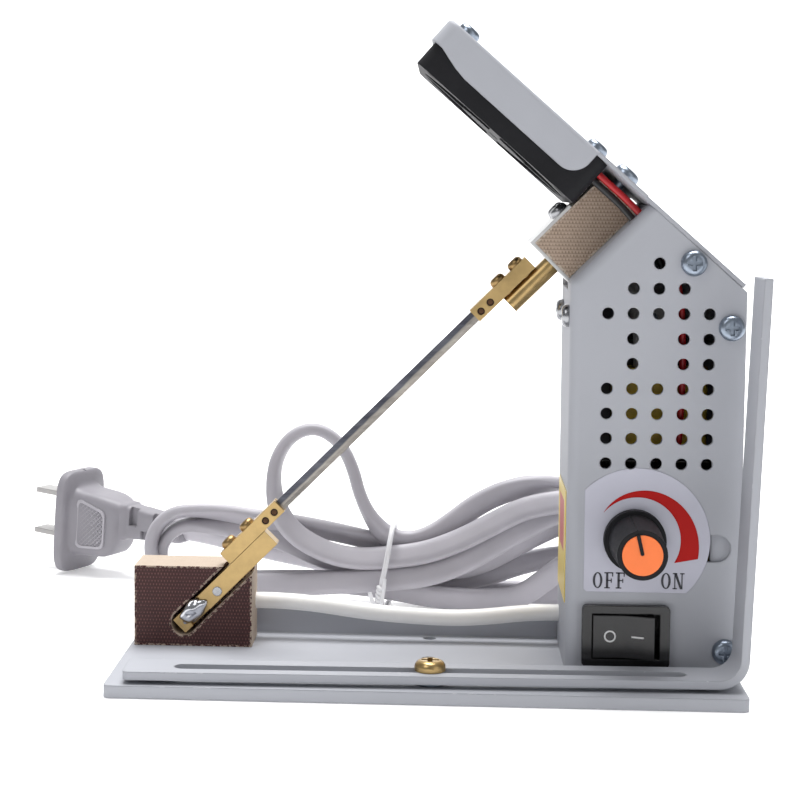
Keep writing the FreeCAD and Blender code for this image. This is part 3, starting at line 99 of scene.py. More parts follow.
def sweep(rings):
    """Vertices and faces of a skin over rings of equal count, capped at both ends."""
    count = len(rings[0])
    vertices = [point for ring in rings for point in ring]
    faces = []
    for row in range(len(rings) - 1):
        near, far = row * count, (row + 1) * count
        for k in range(count):
            following = (k + 1) % count
            faces.append((near + k, near + following, far + following, far + k))
    faces.append(tuple(range(count))[::-1])
    faces.append(tuple(range((len(rings) - 1) * count, len(rings) * count)))
    return vertices, faces


def joined(*parts):
    """One list of vertices and faces from several."""
    vertices, faces = [], []
    for some_vertices, some_faces in parts:
        shift = len(vertices)
        vertices += some_vertices
        faces += [tuple(index + shift for index in face) for face in some_faces]
    return vertices, faces


def film(outline, inner, front, back):
    """A thin plate in the XZ plane, inside an outline or, with an inner one, between the two."""
    loops = [outline] if inner is None else [outline, inner]
    count = len(outline)
    vertices = [Vector((x, y, z)) for y in (front, back) for loop in loops for x, z in loop]
    side = count * len(loops)
    faces = []
    if inner is None:
        faces += [tuple(range(count)), tuple(range(side, side + count))[::-1]]
    for k in range(count):
        following = (k + 1) % count
        faces.append((k, following, side + following, side + k))
        if inner is not None:
            hole, next_hole = count + k, count + following
            faces.append((hole, next_hole, side + next_hole, side + hole))
            faces.append((k, following, next_hole, hole))
            faces.append((side + k, side + following, side + next_hole, side + hole))
    return vertices, faces


def placed(shape, matrix):
    """The same vertices and faces, moved by a matrix."""
    vertices, faces = shape
    return [matrix @ vertex for vertex in vertices], faces


def carve(item, cutter_shape, sharp):
    """Cuts closed solids out of a piece and marks its sharp edges again."""
    vertices, faces = cutter_shape
    cutter_mesh = bpy.data.meshes.new("cutter")
    cutter_mesh.from_pydata([tuple(v) for v in vertices], [], faces)
    cutter = bpy.data.objects.new("cutter", cutter_mesh)
    bpy.context.scene.collection.objects.link(cutter)
    boolean = item.modifiers.new("carve", "BOOLEAN")
    boolean.object, boolean.operation, boolean.solver = cutter, "DIFFERENCE", "EXACT"
    bpy.context.view_layer.update()
    carved = bpy.data.meshes.new_from_object(item.evaluated_get(
        bpy.context.evaluated_depsgraph_get()))
    item.modifiers.clear()
    item.data = carved
    bpy.data.objects.remove(cutter)
    shade(carved, sharp)


def block(along, across, up):
    """A closed box between pairs of limits, as vertices and faces."""
    vertices = [Vector((x, y, z)) for x in along for y in across for z in up]
    return vertices, [(0, 1, 3, 2), (4, 6, 7, 5), (0, 4, 5, 1), (2, 3, 7, 6), (0, 2, 6, 4),
                      (1, 5, 7, 3)]


# ---------------------------------------------------------------- materials

class Recipe:
    """Builds one procedural material around a Principled shader."""

    def __init__(self, name, color, rough, metal=0.0, **more):
        self.material = bpy.data.materials.new(name)
        self.material.use_nodes = True
        self.tree = self.material.node_tree
        self.shader = self.tree.nodes["Principled BSDF"]
        self.set(self.shader, Metallic=metal, Roughness=rough, **more)
        self.shader.inputs["Base Color"].default_value = (*color, 1)
        self.coordinates = self.add("ShaderNodeTexCoord").outputs["Object"]

    def add(self, kind, settings=None, **inputs):
        """A new node with its settings and its inputs."""
        node = self.tree.nodes.new(kind)
        for key, value in (settings or {}).items():
            setattr(node, key, value)
        self.set(node, **inputs)
        return node

    def set(self, node, **inputs):
        """Sets or links inputs by name, or by number as i0, i1 and so on."""
        for key, value in inputs.items():
            by_number = key[0] == "i" and key[1:].isdigit()
            socket = node.inputs[int(key[1:]) if by_number else key.replace("_", " ")]
            if isinstance(value, bpy.types.NodeSocket):
                self.tree.links.new(value, socket)
            else:
                socket.default_value = value

    def math(self, operation, first, second=0.0):
        """One step of arithmetic."""
        return self.add("ShaderNodeMath", {"operation": operation},
                        i0=first, i1=second).outputs[0]

    def axes(self):
        """The three coordinates as separate values."""
        return self.add("ShaderNodeSeparateXYZ", Vector=self.coordinates).outputs

    def noise(self, scale, detail, stretch=(1, 1, 1), turn=0.0):
        """Noise in the object's coordinates, stretched after a turn about Y in degrees."""
        mapped = self.add("ShaderNodeMapping", Vector=self.coordinates, Scale=stretch,
                          Rotation=(0, math.radians(turn), 0)).outputs[0]
        return self.add("ShaderNodeTexNoise", Vector=mapped, Scale=scale,
                        Detail=detail, Roughness=0.6).outputs["Fac"]

    def ramp(self, value, *stops):
        """Colours at places along a value, blended between them."""
        node = self.add("ShaderNodeValToRGB", Fac=value)
        elements = node.color_ramp.elements
        while len(elements) < len(stops):
            elements.new(0.5)
        for element, (place, color) in zip(elements, stops):
            element.position = place
            element.color = (*color, 1)
        return node.outputs["Color"]

    def mix(self, factor, first, second):
        """The first colour where the factor is 0, the second where it is 1."""
        node = self.add("ShaderNodeMix", {"data_type": "RGBA"})
        self.set(node, i0=factor)
        for socket, value in ((node.inputs[6], first), (node.inputs[7], second)):
            if isinstance(value, bpy.types.NodeSocket):
                self.tree.links.new(value, socket)
            else:
                socket.default_value = (*value, 1)
        return node.outputs[2]

    def between(self, value, low, high):
        """One where the value lies between two limits."""
        return self.math("MULTIPLY", self.math("GREATER_THAN", value, low),
                         self.math("LESS_THAN", value, high))

    def edge(self, radius, sharpness):
        """One where the surface turns a corner within a radius, zero on the flat."""
        rounded = self.add("ShaderNodeBevel", Radius=radius).outputs[0]
        normal = self.add("ShaderNodeNewGeometry").outputs["Normal"]
        dot = self.add("ShaderNodeVectorMath", {"operation": "DOT_PRODUCT"}, i0=rounded, i1=normal)
        return self.math("LESS_THAN", dot.outputs["Value"], sharpness)

    def bump(self, height, strength, distance, edge=0.0003):
        """Relief from a height, over edges rounded by a radius in metres."""
        rounded = self.add("ShaderNodeBevel", Radius=edge).outputs[0]
        node = self.add("ShaderNodeBump", Strength=strength, Distance=distance, Height=height,
                        Normal=rounded)
        self.set(self.shader, Normal=node.outputs[0])

    def color(self, value):
        """The surface's colour."""
        self.set(self.shader, Base_Color=value)

    def rough(self, value, low, high):
        """Roughness between two limits as a value goes from 0 to 1."""
        self.set(self.shader, Roughness=self.add(
            "ShaderNodeMapRange", Value=value, i3=low, i4=high).outputs[0])


def scaled(color, factor):
    """A colour made darker or lighter."""
    return tuple(min(1.0, part * factor) for part in color)


def plain(name, color, rough, metal=0.0, spread=0.08, scale=60, grain=900, bump=0.1,
          depth=0.00005, edge=0.0003, stretch=(1, 1, 1), **more):
    """Colour and gloss that vary softly, fine grain in the surface and rounded edges."""
    recipe = Recipe(name, color, rough, metal, **more)
    broad = recipe.noise(scale, 4, stretch)
    recipe.color(recipe.ramp(broad, (0.3, scaled(color, 1 - spread)),
                             (0.7, scaled(color, 1 + spread))))
    fine = recipe.noise(grain, 2, stretch)
    recipe.rough(fine, max(0.03, rough - 0.07), rough + 0.07)
    recipe.bump(fine, bump, depth, edge)
    return recipe.material


def paint():
    """Fine-grained grey powder coat, a little paler and worn along its edges."""
    color = (0.405, 0.415, 0.45)
    recipe = Recipe("grey_paint", color, 0.55, Specular_IOR_Level=0.25)
    broad = recipe.noise(14, 4)
    fine = recipe.noise(1500, 2)
    tone = recipe.ramp(broad, (0.35, scaled(color, 0.975)), (0.65, scaled(color, 1.03)))
    worn = recipe.math("MULTIPLY", recipe.edge(0.0005, 0.93),
                       recipe.math("GREATER_THAN", recipe.noise(160, 5), 0.62))
    recipe.color(recipe.mix(worn, tone, (0.60, 0.61, 0.63)))
    recipe.rough(broad, 0.52, 0.62)
    recipe.bump(fine, strength=0.16, distance=0.00004, edge=0.0006)
    return recipe.material


def brass(name, color, rough):
    """Brushed brass with heat blotches, its streaks along the blade's slope."""
    recipe = Recipe(name, color, rough, metal=1.0)
    streaks = recipe.noise(260, 4, (0.05, 1, 1), BLADE_SLOPE)
    blotches = recipe.noise(180, 5)
    tone = recipe.ramp(blotches, (0.3, scaled(color, 0.72)), (0.55, color),
                       (0.8, scaled(color, 1.1)))
    recipe.color(recipe.mix(0.25, tone, recipe.ramp(streaks, (0.35, scaled(color, 0.8)),
                                                    (0.65, scaled(color, 1.15)))))
    recipe.rough(blotches, rough - 0.06, rough + 0.14)
    recipe.bump(streaks, strength=0.16, distance=0.00005, edge=0.00025)
    return recipe.material


def laminate(name, cloth, dots, sides):
    """Cloth laminate: woven dots on its broad faces, paler sawn edges with its layers."""
    thread_pitch, layer_pitch = 0.8 * MM, 1.1 * MM
    recipe = Recipe(name, cloth, 0.62)
    across, deep, up = recipe.axes()
    turn = 2 * math.pi / thread_pitch
    grain = recipe.noise(700, 3)
    weave = recipe.math("MULTIPLY", recipe.math("SINE", recipe.math("MULTIPLY", across, turn)),
                        recipe.math("SINE", recipe.math("MULTIPLY", up, turn * 0.44)))
    uneven = recipe.math("MULTIPLY", recipe.math("SUBTRACT", grain, 0.5), 1.6)
    weave = recipe.math("ADD", weave, uneven)
    shades = recipe.mix(recipe.noise(90, 4), scaled(cloth, 0.8), scaled(cloth, 1.2))
    woven = recipe.mix(recipe.math("GREATER_THAN", weave, 0.56), shades, dots)
    rows = recipe.math("ADD", recipe.math("SINE", recipe.math("MULTIPLY", up, turn * 0.88)),
                       recipe.math("MULTIPLY", grain, 0.8))
    row_gaps = recipe.math("MULTIPLY", recipe.math("GREATER_THAN", rows, 0.95), 0.55)
    woven = recipe.mix(row_gaps, woven, scaled(cloth, 0.45))
    layers = recipe.math("SINE", recipe.math("MULTIPLY", deep, 2 * math.pi / layer_pitch))
    layer_lines = recipe.math("GREATER_THAN", recipe.math(
        "ADD", layers, recipe.math("MULTIPLY", grain, 1.4)), 1.1)
    sawn = recipe.mix(layer_lines, sides, scaled(sides, 0.82))
    normal = recipe.add("ShaderNodeNewGeometry").outputs["True Normal"]
    facing = recipe.add("ShaderNodeSeparateXYZ", Vector=normal).outputs[1]
    broad_face = recipe.math("GREATER_THAN", recipe.math("ABSOLUTE", facing), 0.7)
    color = recipe.mix(broad_face, sawn, woven)
    frayed = recipe.math("MULTIPLY", recipe.edge(0.0009, 0.995), recipe.math(
        "GREATER_THAN", recipe.noise(1000, 3), 0.5))
    recipe.color(recipe.mix(frayed, color, scaled(sides, 1.15)))
    recipe.rough(grain, 0.5, 0.75)
    relief = recipe.math("ADD", weave, recipe.math("MULTIPLY", layers, 0.4))
    recipe.bump(relief, strength=0.35, distance=0.00008, edge=0.0002)
    return recipe.material


def blade_steel():
    """Dark heat-blued spine with a paler ground facet towards the cutting edge."""
    recipe = Recipe("blade_steel", (0.05, 0.05, 0.06), 0.3, metal=1.0)
    across, _, up = recipe.axes()
    square_to_blade = recipe.math("DIVIDE", recipe.math("SUBTRACT", up, across), ROOT2)
    centre = middle("blade")
    line = (centre.z - centre.x) / ROOT2
    streaks = recipe.noise(420, 5, (0.06, 1, 1), BLADE_SLOPE)
    wobble = recipe.math("MULTIPLY", recipe.math("SUBTRACT", streaks, 0.5), 0.0007)
    place = recipe.math("ADD", square_to_blade, wobble)
    facet = recipe.add("ShaderNodeMapRange", Value=place, i1=line - 0.0001, i2=line + 0.00025,
                       i3=1.0, i4=0.0).outputs[0]
    spine = recipe.ramp(streaks, (0.3, (0.055, 0.058, 0.075)), (0.7, (0.15, 0.155, 0.18)))
    ground = recipe.ramp(streaks, (0.3, (0.25, 0.23, 0.21)), (0.7, (0.45, 0.42, 0.38)))
    recipe.color(recipe.mix(facet, spine, ground))
    recipe.rough(streaks, 0.28, 0.5)
    recipe.bump(streaks, strength=0.2, distance=0.00006, edge=0.00015)
    return recipe.material


def two_colour_film():
    """A yellow film with a plain red panel; it has no lettering."""
    recipe = Recipe("side_film", (0.8, 0.6, 0.1), 0.3)
    low, high = (Vector(corner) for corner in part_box("side_label"))
    _, deep, up = recipe.axes()
    size = high - low
    side, foot, top = 0.2, 0.42, 0.12
    panel = recipe.math("MULTIPLY",
                        recipe.between(deep, low.y + side * size.y, high.y - side * size.y),
                        recipe.between(up, low.z + foot * size.z, high.z - top * size.z))
    paler = recipe.mix(recipe.noise(120, 3), (0.82, 0.60, 0.08), (0.88, 0.68, 0.16))
    recipe.color(recipe.mix(panel, paler, (0.62, 0.10, 0.09)))
    recipe.bump(recipe.noise(500, 2), strength=0.08, distance=0.00003, edge=0.0001)
    return recipe.material


def cord_skin():
    """Soft grey vinyl with a slight sheen."""
    color = (0.40, 0.385, 0.42)
    recipe = Recipe("cord_grey", color, 0.46)
    recipe.color(recipe.ramp(recipe.noise(45, 3), (0.35, scaled(color, 0.93)),
                             (0.65, scaled(color, 1.07))))
    fine = recipe.noise(1300, 2)
    recipe.rough(fine, 0.4, 0.55)
    recipe.bump(fine, strength=0.06, distance=0.00004, edge=0.0002)
    return recipe.material


def plug_skin():
    """The plug's vinyl, darker than the cord's and a little coarser."""
    color = (0.25, 0.24, 0.265)
    recipe = Recipe("plug_grey", color, 0.5)
    recipe.color(recipe.ramp(recipe.noise(70, 3), (0.35, scaled(color, 0.94)),
                             (0.65, scaled(color, 1.06))))
    recipe.bump(recipe.noise(1200, 2), strength=0.1, distance=0.00006, edge=0.0006)
    return recipe.material


materials = {
    "grey_paint": paint(),
    "zinc": plain("zinc", (0.29, 0.335, 0.40), 0.3, metal=1.0, spread=0.12, scale=400, grain=1200),
    "bright_screw": plain("bright_screw", (0.36, 0.365, 0.38), 0.24, metal=1.0, spread=0.06,
                          scale=300, grain=1100, bump=0.05),
    "solder": plain("solder", (0.56, 0.57, 0.6), 0.1, metal=1.0, spread=0.1, scale=500, grain=600,
                    bump=0.25, depth=0.0001),
    "brass": brass("brass", (0.54, 0.38, 0.17), 0.3),
    "dark_brass": brass("dark_brass", (0.34, 0.225, 0.10), 0.32),
    "blade_steel": blade_steel(),
    "maroon_laminate": laminate("maroon_laminate", (0.050, 0.011, 0.010), (0.15, 0.062, 0.055),
                                (0.50, 0.40, 0.31)),
    "tan_laminate": laminate("tan_laminate", (0.44, 0.33, 0.25), (0.24, 0.17, 0.12),
                             (0.56, 0.50, 0.42)),
    "bracket_sheet": plain("bracket_sheet", (0.66, 0.66, 0.66), 0.38, metal=1.0, spread=0.1,
                           scale=120),
    "label_film": plain("label_film", (0.53, 0.53, 0.61), 0.35, spread=0.03, grain=1300,
                        bump=0.06, depth=0.00003, Specular_IOR_Level=0.3),
    "side_film": two_colour_film(),
    "black_gloss": plain("black_gloss", (0.011, 0.011, 0.012), 0.2, spread=0.2, scale=90,
                         bump=0.04, depth=0.00003, edge=0.0004),
    "black_matte": plain("black_matte", (0.009, 0.009, 0.011), 0.6, spread=0.2, scale=90,
                         grain=1300, bump=0.15, depth=0.00004, edge=0.0004,
                         Specular_IOR_Level=0.22),
    "orange_cap": plain("orange_cap", (0.92, 0.19, 0.035), 0.36, spread=0.05, scale=120,
                        bump=0.06),
    "pot_metal": plain("pot_metal", (0.62, 0.62, 0.62), 0.3, metal=1.0, spread=0.1, scale=200),
    "board": plain("board", (0.22, 0.13, 0.05), 0.55, spread=0.2, scale=300, bump=0.15),
    "capacitor": plain("capacitor", (0.36, 0.05, 0.03), 0.3, spread=0.1, scale=200, grain=700),
    "core_steel": plain("core_steel", (0.09, 0.09, 0.10), 0.45, metal=0.9, spread=0.3, scale=300,
                        grain=1400, bump=0.3, stretch=(0.1, 1, 0.1)),
    "winding_tape": plain("winding_tape", (0.78, 0.55, 0.06), 0.4, spread=0.12, scale=200,
                          grain=800, bump=0.2, stretch=(1, 0.2, 1)),
    "white_sleeve": plain("white_sleeve", (0.86, 0.85, 0.83), 0.42, spread=0.04, scale=50,
                          bump=0.06),
    "red_wire": plain("red_wire", (0.55, 0.015, 0.02), 0.35, spread=0.1, scale=100, bump=0.08),
    "black_wire": plain("black_wire", (0.012, 0.012, 0.013), 0.35, spread=0.1, scale=100,
                        bump=0.08),
    "cord_grey": cord_skin(),
    "prong_metal": plain("prong_metal", (0.36, 0.35, 0.345), 0.34, metal=0.55, scale=200,
                         bump=0.06),
    "tie_white": plain("tie_white", (0.72, 0.72, 0.74), 0.4, spread=0.05, scale=100, bump=0.08),
}
for part in frame["record"]["subparts"]:
    data = frame["nodes"][part["node"]].data
    data.materials.clear()
    data.materials.append(materials[part["material_slot"]])


def dress(item, slot_name, material=None):
    """Gives a piece its material slot and that slot's material or a special one."""
    item.data.materials.append(material or materials[slot_name])
    return item


# ---------------------------------------------------------------- mains cord

CORD_WIDE = 6.5 * MM
CORD_THICK = 3.6 * MM
CORD_START = (135, 79, 20)


def strand(lean, *points):
    """Points of the cord with its lean: 0 lies flat, 90 stands on its edge."""
    return [(*point, lean) for point in points]


def bight(start, end, reach, count=7, lean=8):
    """Half a turn of cord from start to end, standing out by reach along x."""
    centre, half = (Vector(start) + Vector(end)) / 2, (Vector(start) - Vector(end)) / 2
    turns = [math.pi * step / count for step in range(count + 1)]
    return [(*(centre + half * math.cos(turn) + Vector((reach * math.sin(turn), 0, 0))), lean)
            for turn in turns]


def cord_route():
    """Bench millimetres: out of the relief, the hank's strands in turn, then the tail."""
    low_front = strand(80, CORD_START, (135, 87, 20), (132, 95, 19.5), (123, 99.5, 17.5),
                       (114, 100.5, 14.5), (108, 100.5, 9.5), (101, 100.5, 4.3), (92, 100.8, 3.4),
                       (84, 101, 3.4), (75, 101, 4.2), (64, 101.2, 6.2), (50, 101, 7.8),
                       (34, 101, 7.8), (18, 102, 6.8))
    inner_left = bight((8, 102.5, 6.2), (8, 104, 23.2), -9.5)
    low_rear = strand(70, (16, 104.4, 23.0), (25, 104.5, 21.4), (34, 104.6, 19.0),
                      (42, 104.8, 15.0), (50, 105, 12.2), (64, 105.3, 9.2), (73, 106.6, 7.4),
                      (82, 108, 7.4), (92, 108, 9.2), (101, 107.5, 12.8))
    right_small = bight((113, 106.5, 15.6), (113, 103, 36.6), 15)
    top = strand(76, (104, 102.2, 36.4), (95, 102, 33.8), (88, 102, 30), (82, 101.8, 25.2),
                 (76, 101.5, 21), (69.6, 101.3, 19.0), (63.6, 101.2, 20.5))
    upright = strand(8, (58.8, 101.5, 25.8), (55.4, 102, 32.6), (53.4, 102.2, 40.5),
                     (49.8, 102.2, 47.6), (43, 102, 51.9), (36, 101.5, 49.6), (31.6, 101, 42.8),
                     (30.9, 100, 34.8))
    second = strand(48, (32.6, 99.2, 27.6), (37.6, 98.4, 21.2), (46.5, 97.8, 16.6),
                    (55, 97.6, 15.0)) \
        + strand(62, (64, 97.5, 15.7), (74, 97.6, 17), (84, 97.8, 20.8), (93, 98, 25.6),
                 (101, 98, 30), (110, 98, 32.1), (121, 97.4, 32.9)) \
        + bight((131, 97, 33), (131, 111.2, 26.8), 8.2, count=6, lean=66) \
        + strand(62, (122, 110.4, 26.2), (114, 107, 25.2), (102, 105, 19.6),
                 (92, 104.6, 13.6), (82, 104.6, 10.8), (73, 104.9, 13)) \
        + strand(50, (64, 105, 17.8), (55, 104.6, 20), (46, 104.2, 22), (36, 103.6, 23.8),
                 (26, 103, 25), (17, 102.6, 26.8))
    outer_left = bight((6, 102, 27.4), (6, 98.6, 7.2), -10)
    wide = strand(82, (18, 98.2, 6.6), (30, 98, 7.2), (42, 97.8, 7.7), (53, 97.6, 8.4),
                  (64, 97.5, 9.4), (74, 97.8, 10.4), (84, 98.6, 13.8), (93, 99.4, 19),
                  (102, 100, 24.4), (112, 101, 29.2), (122, 103, 34.4))
    right_large = bight((131, 105, 37.6), (131, 110, 4), 17, count=9)
    rear = strand(80, (118, 111, 3.6), (104, 111, 3.6), (90, 111, 3.8), (77, 110.4, 4.6),
                  (64, 110.4, 6.6), (54, 113.6, 9.2))
    tail = strand(50, (38, 119.5, 11), (27, 121.6, 12.6), (16.9, 124.8, 14.4), (9, 128.6, 15.4),
                  (1.7, 132.2, 15.9), (-1.2, 133.6, 16.1))
    return low_front + inner_left + low_rear + right_small + top + upright + second \
        + outer_left + wide + right_large + rear + tail


def nurbs_line(name, route):
    """Points along the smooth NURBS line that a route in bench millimetres controls."""
    curve = bpy.data.curves.new(name, "CURVE")
    curve.dimensions = "3D"
    spline = curve.splines.new("NURBS")
    spline.points.add(len(route) - 1)
    for control, point in zip(spline.points, route):
        control.co = (*at(*point[:3]), 1)
    spline.order_u = 3
    spline.use_endpoint_u = True
    spline.resolution_u = 8
    holder = bpy.data.objects.new(name, curve)
    bpy.context.scene.collection.objects.link(holder)
    mesh = bpy.data.meshes.new_from_object(holder)
    line = [vertex.co.copy() for vertex in mesh.vertices]
    bpy.data.objects.remove(holder)
    bpy.data.curves.remove(curve)
    bpy.data.meshes.remove(mesh)
    return line


def flat_section(wide, thick):
    """A flat twin cord: two round cores under one skin, a little hollow between them."""
    count, waist, waist_spread = 28, 0.05, 0.11
    shape = []
    for step in range(count):
        turn = 2 * math.pi * step / count
        across = math.copysign(abs(math.cos(turn)) ** 0.8, math.cos(turn)) * wide / 2
        rise = math.copysign(abs(math.sin(turn)) ** 0.62, math.sin(turn)) * thick / 2
        dip = 1 - waist * math.exp(-(across / (waist_spread * wide)) ** 2)
        shape.append((across, rise * dip))
    return shape


def smoothed(values, times):
    """The values after each has been averaged with its neighbours a number of times."""
    last = len(values) - 1
    for _ in range(times):
        values = [(values[max(0, k - 1)] + values[k] + values[min(last, k + 1)]) / 3
                  for k in range(last + 1)]
    return values


def frame_along(line, k, reference=None):
    """Three unit vectors at a point of a line: along it, and two square to it."""
    along = (line[min(k + 1, len(line) - 1)] - line[max(k - 1, 0)]).normalized()
    if reference is None:
        too_close = abs(along.y) >= 0.94
        reference = Vector((1, 0, 0)) if too_close else Vector((0, 1, 0))
    side = (reference - along * reference.dot(along)).normalized()
    return along, side, along.cross(side)


def make_cord():
    """The flat mains cord, leaning as each point of its route says, and its centre line."""
    route = cord_route()
    line = nurbs_line("mains_route", route)
    span = (len(line) - 1) / (len(route) - 1)
    leans = [math.radians(route[min(len(route) - 1, round(k / span))][3])
             for k in range(len(line))]
    leans = smoothed(leans, times=50)
    section = flat_section(CORD_WIDE, CORD_THICK)
    rings = []
    for k, point in enumerate(line):
        along, level, up = frame_along(line, k)
        wide = level * math.cos(leans[k]) + up * math.sin(leans[k])
        thick = along.cross(wide)
        rings.append([point + wide * a + thick * b for a, b in section])
    return dress(piece("mains_cord", *sweep(rings)), "cord_grey"), line


def round_tube(name, line, radius, count=12):
    """A round tube along a line."""
    rings = []
    for k, point in enumerate(line):
        _, side, up = frame_along(line, k, Vector((0.3, 0.2, 0.93)))
        rings.append([point + (side * math.cos(2 * math.pi * j / count)
                               + up * math.sin(2 * math.pi * j / count)) * radius
                      for j in range(count)])
    return piece(name, *sweep(rings))


def make_tie():
    """A coated wire tie round the hank, its two ends twisted together at the front."""
    around = [(62.2, 94.6, 3.0), (61.9, 92.9, 7.9), (63.0, 92.7, 13), (64.0, 93.2, 18.7),
              (64.7, 95.4, 23.0), (65, 98.5, 24.4), (65.2, 103, 24.4), (65.4, 108, 23.4),
              (65.4, 112.6, 19), (64.8, 114.0, 11), (64.2, 112.8, 2.2), (63.8, 107, 1.0),
              (63.2, 100, 0.9), (62.4, 95.8, 1.4), (61.8, 93.6, 3.6), (61.9, 92.4, 7.6)]
    wire, end_wire = 0.75 * MM, 0.6 * MM
    twist, twist_points, turn_step = 0.6, 28, 0.55
    tie_pieces = [round_tube("tie_band", nurbs_line("tie_route", around), wire)]
    for which in (0, 1):
        points = []
        for step in range(twist_points):
            turn = math.pi * which + step * turn_step
            share = step / (twist_points - 1)
            points.append(at(61.9 - 0.7 * share + twist * math.cos(turn),
                             92.3 - 0.5 * share + twist * math.sin(turn), 8.4 - 5.4 * share))
        tie_pieces.append(round_tube(f"tie_twist_{which}", points, end_wire, count=8))
    ends = ([(61.0, 91.6, 3.2), (61.3, 91.2, 2.2), (62.0, 91.0, 2.6), (62.4, 91.2, 5.5),
             (62.9, 91.4, 8.5), (63.0, 91.6, 10.7)],
            [(61.4, 91.8, 3.6), (60.8, 91.4, 2.8), (60.0, 91.2, 3.4), (59.4, 91.2, 5.2),
             (58.9, 91.4, 6.9)])
    for which, route in enumerate(ends):
        line = nurbs_line("tie_end_route", route)
        tie_pieces.append(round_tube(f"tie_end_{which}", line, end_wire, count=8))
    for item in tie_pieces:
        dress(item, "tie_white")
    return tie_pieces


# ---------------------------------------------------------------- plug
# Its own millimetres: x along it from the flange to the cord, y across it, z up.

PLUG_FRAME = BENCH_FRAME @ Matrix.Translation((-34.75, 150, 0.2)) \
    @ Matrix.Rotation(math.radians(-26), 4, "Z") @ Matrix.Rotation(math.radians(4), 4, "Y")
PANEL_CENTRE = (9.2, 16.0)
PANEL_FRONT, PANEL_BACK = -7.4, -6.8
RIDGE_TOP, RIDGE_FOOT, RIDGE_HALF = -7.32, -6.95, 0.26


def soft_ring(along, half_deep, low, high, power):
    """A ring of a box with soft corners, square to the plug's axis."""
    count = 64
    middle_z, half_high = (low + high) / 2, (high - low) / 2
    ring = []
    for step in range(count):
        turn = 2 * math.pi * step / count
        c, s = math.cos(turn), math.sin(turn)
        ring.append(Vector((along, math.copysign(abs(c) ** (2 / power), c) * half_deep,
                            middle_z + math.copysign(abs(s) ** (2 / power), s) * half_high)))
    return ring


def plug_slots():
    """The slot in the flange's top and the relief's slots, by turns high and low."""
    slots = [block((-3, 3), (-0.35, 0.35), (31.1, 34))]
    slot_width = 2.8
    for left, low, high in ((21.3, 17.8, 26), (25.7, 8, 16.8), (29.8, 18.6, 26), (33.9, 8, 17.4)):
        slots += [block((left, left + slot_width), across, (low, high))
                  for across in ((-6, -2.4), (2.4, 6))]
    return joined(*slots)


def panel_outline(inset):
    """The knurled panel's outline with rounded corners, drawn in by an inset."""
    corners = [Vector(spot) for spot in ((3.9, 8.6), (3.9, 24.2), (14.4, 21.2), (14.4, 9.6))]
    corner_reach, steps, mean_width = 2.2, 6, 12.5
    centre, pull = Vector(PANEL_CENTRE), 1 - 2 * inset / mean_width
    outline = []
    for k, spot in enumerate(corners):
        before, after = corners[k - 1], corners[(k + 1) % len(corners)]
        start = spot + (before - spot).normalized() * corner_reach
        end = spot + (after - spot).normalized() * corner_reach
        for step in range(steps + 1):
            share = step / steps
            bend = start * (1 - share) ** 2 + spot * 2 * share * (1 - share) + end * share ** 2
            outline.append(tuple(centre + (bend - centre) * pull))
    return outline


def knurl_ridge(loop, offset, lean):
    """A fine ridge across the panel at 45 degrees, clipped to the panel's outline."""
    centre = Vector(PANEL_CENTRE)
    along = Vector((1, lean)).normalized()
    normal = Vector((-along.y, along.x))
    hits = []
    for first, second in zip(loop, loop[1:] + loop[:1]):
        a, b = ((Vector(p) - centre).dot(normal) - offset for p in (first, second))
        if (a > 0) != (b > 0):
            hits.append(Vector(first) + (Vector(second) - Vector(first)) * (a / (a - b)))
    shortest = 0.8
    if len(hits) != 2 or (hits[0] - hits[1]).length < shortest:
        return []
    side = normal * RIDGE_HALF
    vertices = []
    for spot in hits:
        vertices += [Vector((spot.x + side.x, RIDGE_FOOT, spot.y + side.y)),
                     Vector((spot.x, RIDGE_TOP, spot.y)),
                     Vector((spot.x - side.x, RIDGE_FOOT, spot.y - side.y))]
    return [(vertices, [(0, 1, 2), (5, 4, 3), (0, 3, 4, 1), (1, 4, 5, 2), (2, 5, 3, 0)])]


